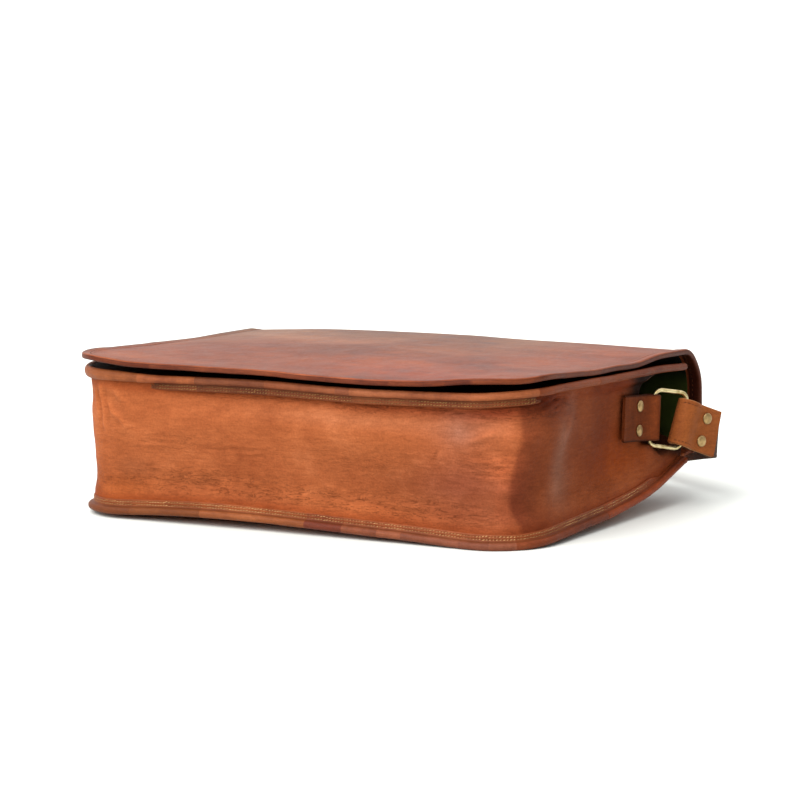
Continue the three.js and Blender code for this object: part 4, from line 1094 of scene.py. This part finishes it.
def flap(grid, normals):
    points, faces = wall(grid, grid - normals * FLAP_T)
    near = np.minimum(FLAP_HALF - np.abs(grid[..., 0]), grid[..., 1] - FLAP_FRONT_Y)
    burnish = blend(BURNISH["least"], 1, smooth(*BURNISH["in"], near))
    tint = (burnish[..., None] * flap_tint(grid)).reshape(-1, 3)
    return piece("flap_leather", points, faces, TOP, ["flap"], np.tile(tint, (2, 1)))


def flap_edge(grid, normals, free):
    """The flap edge's stations from the right spine round the front to the left spine."""
    rows = grid[free:]
    turn = np.arcsin(np.clip((FLAP_FRONT_Y + FLAP_CORNER_R - rows[:, 0, 1]) / FLAP_CORNER_R, 0, 1))
    away = stacked(np.cos(turn), -np.sin(turn), 0.0)
    front = np.broadcast_to(np.array((0.0, -1.0, 0.0)), rows[-1, 1:-1].shape)
    points = np.concatenate([rows[:, 0], rows[-1, 1:-1], rows[::-1, -1]])
    up = np.concatenate([normals[free:, 0], normals[-1, 1:-1], normals[free:, -1][::-1]])
    away = np.concatenate([away, front, flipped(away)[::-1]])
    out = unit(away - up * np.sum(away * up, -1, keepdims=True))
    return points, out, up


def flap_binding(grid, normals, free):
    points, out, up = flap_edge(grid, normals, free)
    length = lengths(points)
    at = length[-1] / 2 - length
    tint, lap = strip_tint(FLAP_STRIPS, at)
    section = np.array(FLAP_BEAD)
    n, z = section.T
    proud = np.arange(len(section)) < len(section) - FLAP_SWELL["inner"]
    fat = field(stacked(at, 0.0, 0.0), "flap_edge") + lap * FLAP_SWELL["lap"]
    middle = np.array((FLAP_SWELL["n"], -FLAP_T / 2))
    sections = section + (section - middle) * np.outer(fat, proud)[..., None] * FLAP_SWELL["share"]
    rings = rings_on(points, out, up, sections)
    mesh_points, faces = sweep(rings)
    # Painted highlight along the rim, strongest near the middle of the front and dimmer towards the left
    left = smooth(*FLAP_LINE["left"], at)
    light = blend(*FLAP_LINE["light"], bell(at - FLAP_LINE["middle"], FLAP_LINE["reach"]))
    light = light - FLAP_LOSS["left"] * left
    rim = smooth(*FLAP_ZONE["rim_n"], n) * smooth(*FLAP_ZONE["rim_z"], z)
    line_z, line_width = FLAP_ZONE["line"]
    # Painted shade in the stitch row, in a thin line under the rim, at the foot and on the inside
    zones = {
        "row": bell(n + FLAP_STITCH["inset"], FLAP_ZONE["row"]),
        "line": bell(z - line_z, line_width) * (n > FLAP_ZONE["outer"]),
        "foot": smooth(*FLAP_ZONE["foot"], z) * (n > 0),
        "inside": (n < 0) & (z < FLAP_ZONE["inside"]),
    }
    marks = 1 - sum(FLAP_LOSS[name] * zone for name, zone in zones.items())
    top = smooth(*FLAP_ZONE["rim_z"], z - FLAP_ZONE["slope"] * np.minimum(n, 0))[None, :, None]
    tone_marks = np.outer(left, smooth(*FLAP_ZONE["tone_marks"], n))[..., None]
    # The top of the edge takes the flap's dye and painted sheen
    colouring = flap_tint(rings) * top * (1 - FLAP_LOSS["tone_marks"] * tone_marks) + FLAP_BAND * tint[:, None] * (1 - top)
    shade = colouring * (marks[None, :, None] + np.outer(light, rim)[..., None] * FLAP_LIGHT)
    made = piece("flap_binding_leather", mesh_points, faces, TOP, ["flap_binding"],
                 shade.reshape(-1, 3))
    inset = points - out * FLAP_STITCH["inset"]
    over, under = FLAP_STITCH["rise"]
    rows = [(inset + up * over, up), (inset - up * (FLAP_T + under), -up)]
    stitches("flap_binding_stitching", rows, FLAP_STITCH, DARK_THREAD, 3)
    return made


def lining(lined):
    y, z = flap_rows()[:2]
    keep = (np.arange(len(y)) >= lined) & ((y > LINING["end_y"]) | (z < TOP_FROM))
    across = np.linspace(1, -1, STEPS["lining"]) * LINING["half"]
    face = flap_surface(*np.broadcast_arrays(across[None], y[keep][:, None], z[keep][:, None]))
    normals = grid_normals(face)
    pucker = LINING["pucker"] * np.clip(field(face, "canvas"), -1, 1)[..., None]
    grid = face - normals * (FLAP_T + GAP + LINING["clear"] * (2 + pucker))
    points, faces = wall(grid, grid - normals * LINING_T)
    # Painted shade inside the flap: the lining darker towards the top and away from its sides
    above, inside = LINING_SHADE["loss"]
    deep = 1 - above * smooth(*LINING_SHADE["z"], points[:, 2])
    deep = deep * (1 - inside * smooth(*LINING_SHADE["x"], np.abs(points[:, 0])))
    made = piece("lining_canvas", points, faces, GREEN, ["lining"], deep[:, None])
    return made


# Strap hardware of the right side, mirrored for the left


def directions(heading, pitch):
    turn, dip = math.radians(heading), math.radians(pitch)
    flat = np.array((math.cos(turn), math.sin(turn), 0.0))
    ahead = flat * math.cos(dip) + UPRIGHT * math.sin(dip)
    up = UPRIGHT * math.cos(dip) - flat * math.sin(dip)
    return ahead, np.cross(ahead, up), up


def leaning(heading, lean, to):
    """Axes of a piece whose upright leans towards one heading while it faces another."""
    up = directions(to, -lean)[2]
    flat = directions(heading, 0)[0]
    ahead = unit(flat - up * np.dot(flat, up))
    return ahead, np.cross(ahead, up), up


TAB_AXES = directions(TAB["heading"], TAB["pitch"])
TAIL_AXES = directions(TAIL["heading"], TAIL["pitch"])
RING_AXES = leaning(RING["heading"], RING["lean"], RING["to"])
TAIL_BAR = TAB_BAR + RING_AXES[0] * RING["reach"] - RING_AXES[2] * TAIL["drop"]


def rivet_places(bar, axes, pair, above, below):
    """Middle, axis and grip of the two rivets of a pair."""
    ahead, out, up = axes
    return [(bar + ahead * pair["u"] + up * v * pair["apart"] / 2, out, above, below) for v in (1, -1)]


TAB_GRIP = TAB["layer"] + GAP / 2
TAIL_GRIP = STRAP["thick"] + GAP / 2
TAB_RIVET_PLACES = rivet_places(TAB_BAR, TAB_AXES, TAB_RIVETS, TAB_GRIP, TAB_GRIP + 2 * GAP + GUSSET_T)
TAIL_RIVET_PLACES = rivet_places(TAIL_BAR, TAIL_AXES, TAIL_RIVETS, TAIL_GRIP, TAIL_GRIP)


def dimpled(points, places):
    """Points sunk a little round the rivets that press on them."""
    low, high = DIMPLE["between"]
    for at, axis, *_ in places:
        offset = points - at
        depth = offset @ axis
        radius = np.linalg.norm(offset - depth[:, None] * axis, axis=1)
        pressed = np.sign(depth) * (np.abs(depth) > low) * (np.abs(depth) < high)
        points = points - (DIMPLE["depth"] * bell(radius, DIMPLE["reach"]) * pressed)[:, None] * axis
    return points


def band_section(width, thick, inset):
    """A strap's section with rounded edges and a shallow groove under each stitch row."""
    w, t, r = width / 2, thick / 2, min(BAND["round"], thick * BAND["round_share"])
    groove = BAND["groove"]
    half = w - np.array([r, BAND["edge"], inset - groove, inset, inset + groove, *BAND["across"]])
    face = np.concatenate([half, [0.0], -half[::-1]])
    dip = np.where(np.isclose(np.abs(face), w - inset), BAND["dip"], 0.0)
    arc = np.radians(BAND["arc"])
    round_low = stacked(t - r + r * np.sin(arc), -(w - r) - r * np.cos(arc))
    round_high = stacked(-(t - r) - r * np.sin(arc), (w - r) + r * np.cos(arc))
    return np.concatenate([stacked(t - dip, face), round_low, stacked(dip - t, face)[::-1], round_high])


def band(name, points, out, up, size, material, nodes, places, painted_light, slant=0.0, mirror=False):
    """A strap swept along a path, with painted light for each station of it and a slant of its section:
    painted shade on the strap's hidden stretch, a painted highlight on a tab's fold.
    """
    section = band_section(size["width"], size["thick"], STRAP_STITCH["inset"])
    skew = np.outer(np.broadcast_to(slant, len(points)), section[:, 1])
    rings = rings_on(points, out, up, section) + skew[..., None] * np.cross(up, out)[:, None]
    mesh_points, faces = sweep(rings)
    mesh_points = dimpled(mesh_points, places)
    if mirror:
        mesh_points = flipped(mesh_points)
    near = size["width"] / 2 - np.abs(section[:, 1])
    kind = size["kind"]
    shade = blend(CUT_EDGE[kind], 1, smooth(*CUT_REACH[kind], near)[:, None])
    tint = (painted_light[:, None, None] * shade).reshape(-1, 3)
    return piece(name, mesh_points, faces, material, nodes, tint)


def tab_path():
    ahead, out, up = TAB_AXES
    layer = TAB["layer"]
    radius = BAR_BORE["tab"] + layer / 2

    def offset(u):
        return layer / 2 + blend(GAP / 2, BAR_BORE["tab"], smooth(*TAB_PARTING, u))

    outer = np.linspace(-TAB["outer"], 0, STEPS["tab_outer"])[:-1]
    bend = np.linspace(math.pi / 2, -math.pi / 2, STEPS["bend"])
    inner = np.linspace(0, -TAB["inner"], STEPS["tab_inner"])[1:]
    u = np.concatenate([outer, radius * np.cos(bend), inner])
    n = np.concatenate([offset(outer), radius * np.sin(bend), -offset(inner)])
    return TAB_BAR + u[:, None] * ahead + n[:, None] * out


def tail_offset(u):
    """Distance of the strap's middle from the plane between its two layers."""
    slit = (GAP + STRAP["thick"]) / 2
    wide = BAR_BORE["strap"] + STRAP["thick"] / 2
    return blend(slit, wide, 1 - smooth(*TAIL_PARTING, u))


def strap_end():
    ahead, out, up = TAIL_AXES
    radius = BAR_BORE["strap"] + STRAP["thick"] / 2
    tail = np.linspace(TAIL["length"], 0, STEPS["tail"])[:-1]
    bend = np.linspace(math.pi / 2, 3 * math.pi / 2, STEPS["bend"])
    back = np.linspace(0, TAIL["length"] - TAIL["before_bend"], STEPS["tail_back"])[1:]
    u = np.concatenate([tail, radius * np.cos(bend), back])
    n = np.concatenate([tail_offset(tail), radius * np.sin(bend), -tail_offset(back)])
    return TAIL_BAR + u[:, None] * ahead + n[:, None] * out


def smooth_run(route, per_span):
    """A centripetal curve through the route's points, with the span number of each place on it."""
    ends = [2 * route[0] - route[1], *route, 2 * route[-1] - route[-2]]
    places, spans = [], []
    for i in range(len(route) - 1):
        p0, p1, p2, p3 = ends[i:i + 4]
        d0, d1, d2 = (math.sqrt(np.linalg.norm(b - a)) for a, b in ((p0, p1), (p1, p2), (p2, p3)))
        t1 = ((p1 - p0) / d0 - (p2 - p0) / (d0 + d1) + (p2 - p1) / d1) * d1
        t2 = ((p2 - p1) / d1 - (p3 - p1) / (d1 + d2) + (p3 - p2) / d2) * d1
        for f in np.arange(per_span) / per_span:
            bent = (2 * p1 - 2 * p2 + t1 + t2) * f**3 + (3 * p2 - 3 * p1 - 2 * t1 - t2) * f**2
            places.append(bent + t1 * f + p1)
            spans.append(i + f)
    return np.array(places), np.array(spans)


def path_axes(points, up):
    """Directions across a band and along its width at each point of its path."""
    tangent = unit(np.gradient(points, axis=0))
    up = unit(up - tangent * np.sum(up * tangent, -1, keepdims=True))
    return np.cross(tangent, up), up


def strap():
    right = strap_end()
    left = flipped(right)[::-1]
    loop = stacked(*(STRAP_LOOP[c] for c in "xyz"))
    bend = right[-1] + TAIL_BEND
    route = [right[-1], bend, *loop, flipped(bend), left[0]]
    run, spans = smooth_run(route, STEPS["strap_span"])
    points = np.concatenate([right, run[1:], left])
    from_end = np.minimum(spans, len(route) - 1 - spans)[1:]
    straight = smooth(0, UPRIGHT_SPANS, from_end)
    upright = np.concatenate([np.zeros(len(right)), straight, np.zeros(len(left))])[:, None]
    station = np.arange(len(points))
    first = station < len(points) / 2
    lean = np.where(first[:, None], TAIL_AXES[2], flipped(TAIL_AXES[2]))
    out, up = path_axes(points, blend(lean, UPRIGHT, upright))
    places = TAIL_RIVET_PLACES + [(flipped(at), flipped(axis), a, b) for at, axis, a, b in TAIL_RIVET_PLACES]
    from_tail = np.minimum(station, len(points) - 1 - station)
    # Painted shade on the strap's stretch under and behind the tail
    hidden = smooth(*HIDDEN_STRETCH_SHADE["from"], from_tail) * (1 - smooth(*HIDDEN_STRETCH_SHADE["to"], from_tail))
    painted_light = 1 - HIDDEN_STRETCH_SHADE["loss"] * hidden
    slant = TAIL["slant"] * (1 - from_tail / (STEPS["tail"] - 1)).clip(0) * np.where(first, 1, -1)
    band("strap_leather", points, out, up, STRAP, SADDLE, ["shoulder_strap"], places, painted_light, slant)
    rows = loop_rows()
    rows += [(flipped(path), flipped(normals)) for path, normals in rows]
    stitches("strap_stitching", rows, STRAP_STITCH, DARK_THREAD, 4)


def loop_rows():
    """Stitch rows of the right loop: one across the tail beside the ring, one short row by each edge."""
    ahead, out, up = TAIL_AXES
    side = STRAP["width"] / 2 - STRAP_STITCH["inset"]
    u = np.linspace(*STRAP_STITCH["row"], STEPS["row"])
    round_end = BAR_BORE["strap"] + STRAP["thick"]
    bent = np.sqrt(round_end**2 - np.minimum(u, 0) ** 2)
    height = np.where(u < 0, bent, tail_offset(u) + STRAP["thick"] / 2) - STRAP_STITCH["sink"]
    face = TAIL_BAR + u[:, None] * ahead + height[:, None] * out
    tilted = unit(np.cross(up, np.gradient(face, axis=0)))
    tilted = tilted * np.sign(tilted @ out)[:, None]
    turn = math.radians(STRAP_STITCH["turn"])
    away = ahead * math.cos(turn) + out * math.sin(turn)
    v = np.linspace(-side, side, STEPS["row"])[:, None]
    across = (TAIL_BAR + away * round_end + v * up, np.broadcast_to(away, (len(v), 3)))
    return [across, (face + side * up, tilted), (face - side * up, tilted)]


def ring_rings():
    ahead, out, up = RING_AXES
    middle = TAB_BAR + ahead * RING["reach"] / 2
    radius = RING["corner"]
    points, radial = [], []
    for i, (h, v) in enumerate(((1, 1), (-1, 1), (-1, -1), (1, -1))):
        centre = middle + ahead * h * (RING["reach"] / 2 - radius) + up * v * (RING["tall"] / 2 - radius)
        for a in np.linspace(i * math.pi / 2, (i + 1) * math.pi / 2, STEPS["ring_corner"]):
            radial.append(ahead * math.cos(a) + up * math.sin(a))
            points.append(centre + radial[-1] * radius)
    section = RING["wire"] / 2 * circle(STEPS["ring"])
    return rings_on(np.array(points), np.array(radial), np.broadcast_to(out, (len(points), 3)), section)


def rivet_rings(place):
    at, axis, above, below = place
    side = unit(np.cross(axis, UPRIGHT))
    head = above + RIVET["proud"]
    foot = -below - RIVET["inner_gap"]
    cap_r, shank_r, head_r, bevel = (RIVET[k] for k in ("cap_r", "shank_r", "head_r", "bevel"))
    cap = foot - RIVET["cap_tall"]
    dome_from, dome_tall = head + RIVET["rim"], RIVET["head_tall"] - RIVET["rim"]
    dome = np.linspace(0, math.pi / 2, STEPS["dome"])[:-1]
    profile = [
        (RIVET["tip"], cap), (cap_r - bevel, cap), (cap_r, cap + bevel), (cap_r, foot), (shank_r, foot),
        (shank_r, head), (head_r - RIVET["lip"], head), (head_r, head + RIVET["lip_tall"]),
        *[(head_r * math.cos(a), dome_from + dome_tall * math.sin(a)) for a in dome],
        (RIVET["tip"], head + RIVET["head_tall"]),
    ]
    spokes = circle(STEPS["rivet"]) @ np.array((side, np.cross(axis, side)))
    return np.array([at + axis * h + spokes * r for r, h in profile])


def hardware(side):
    turn = flipped if side == "left" else np.asarray
    path = tab_path()
    out, up = path_axes(path, np.broadcast_to(TAB_AXES[2], path.shape))
    size = {"width": TAB["width"], "thick": TAB["layer"], "kind": "tab"}
    # Painted highlight on the tab just before it folds round the ring
    painted_light = 1 + TAB_GLEAM["share"] * bell(np.arange(len(path)) - TAB_GLEAM["at"], TAB_GLEAM["width"])
    band(f"{side}_tab_leather", path, out, up, size, TAB_LEATHER, [f"{side}_strap_tab"], TAB_RIVET_PLACES,
         painted_light, mirror=side == "left")
    points, faces = sweep(ring_rings(), closed=True)
    piece(f"{side}_ring_wire", turn(points), faces, BRASS, [f"{side}_ring"])
    for kind, places in (("tab", TAB_RIVET_PLACES), ("strap", TAIL_RIVET_PLACES)):
        for i, place in enumerate(places):
            points, faces = sweep(rivet_rings(place))
            node = f"{side}_{kind}_rivet_{i + 1}"
            piece(f"{node}_head", turn(points), faces, BRONZE, [node])


# Studio


def camera():
    at, aim = (Vector(CAMERA[k]) * MM for k in ("at", "aim"))
    data = bpy.data.cameras.new("camera")
    data.lens = CAMERA["lens"]
    data.sensor_width = CAMERA["sensor"]
    data.clip_end = CAMERA["clip"]
    made = bpy.data.objects.new("camera", data)
    look = (aim - at).to_track_quat("-Z", "Y").to_matrix().to_4x4()
    made.matrix_world = Matrix.Translation(at) @ look @ Matrix.Rotation(math.radians(CAMERA["roll"]), 4, "Z")
    scene.collection.objects.link(made)
    scene.camera = made


def sky():
    """Soft light that is stronger from above and from behind the bag."""
    world = bpy.data.worlds.new("studio")
    s = Shader(world, "Background", "Generated")
    level = WORLD["level"]
    for towards, share in SKY:
        facing = s.add("VectorMath", out="Value", operation="DOT_PRODUCT", inputs={0: s.place, 1: towards})
        level = s.math("ADD", s.add("MapRange", inputs={"Value": facing, "To Max": share}), level)
    s.set(Color=WORLD["colour"], Strength=level)
    scene.world = world


def studio():
    sky()
    key = bpy.data.lights.new("key", "SUN")
    key.energy = KEY["strength"]
    key.angle = math.radians(KEY["spread"])
    key.color = KEY["colour"]
    lamp = bpy.data.objects.new("key", key)
    lamp.location = KEY["from"]
    lamp.rotation_euler = (-lamp.location).to_track_quat("-Z", "Y").to_euler()
    scene.collection.objects.link(lamp)
    reach = FLOOR["reach"] * MM
    corners = [(-reach, -reach, 0), (reach, -reach, 0), (reach, reach, 0), (-reach, reach, 0)]
    mesh = bpy.data.meshes.new("floor")
    mesh.from_pydata(corners, [], [(0, 1, 2, 3)])
    paper = material("paper_floor")
    paper.set(Base_Color=FLOOR["colour"], Roughness=FLOOR["rough"], Specular_IOR_Level=FLOOR["specular"])
    mesh.materials.append(paper.owner)
    floor = bpy.data.objects.new("floor", mesh)
    scene.collection.objects.link(floor)
    scene.view_settings.view_transform = "Standard"
    scene.view_settings.look = "None"


camera()
studio()
panel("back_panel", back_level, BACK_END_Y, 1, BODY)
panel("front_panel", front_level, MOUTH_Y, -1, PANEL)
gusset()
edge_binding("back_binding", low_edge, 1, BACK_STRIPS, seed=1.0, shown=np.ones_like, darker=0.95,
             sewing=GOLD_THREAD)
# The front binding's flange and thread are darkened as painted shade under the flap
edge_binding("front_binding", top_edge, -1, FRONT_STRIPS, seed=2.0, shown=flange_shown, darker=0.66,
             sewing=SHADED_THREAD)
sheet, sheet_normals, free_from, lined_from = flap_grid()
flap(sheet, sheet_normals)
flap_binding(sheet, sheet_normals, free_from)
lining(lined_from)
strap()
for side in ("right", "left"):
    hardware(side)
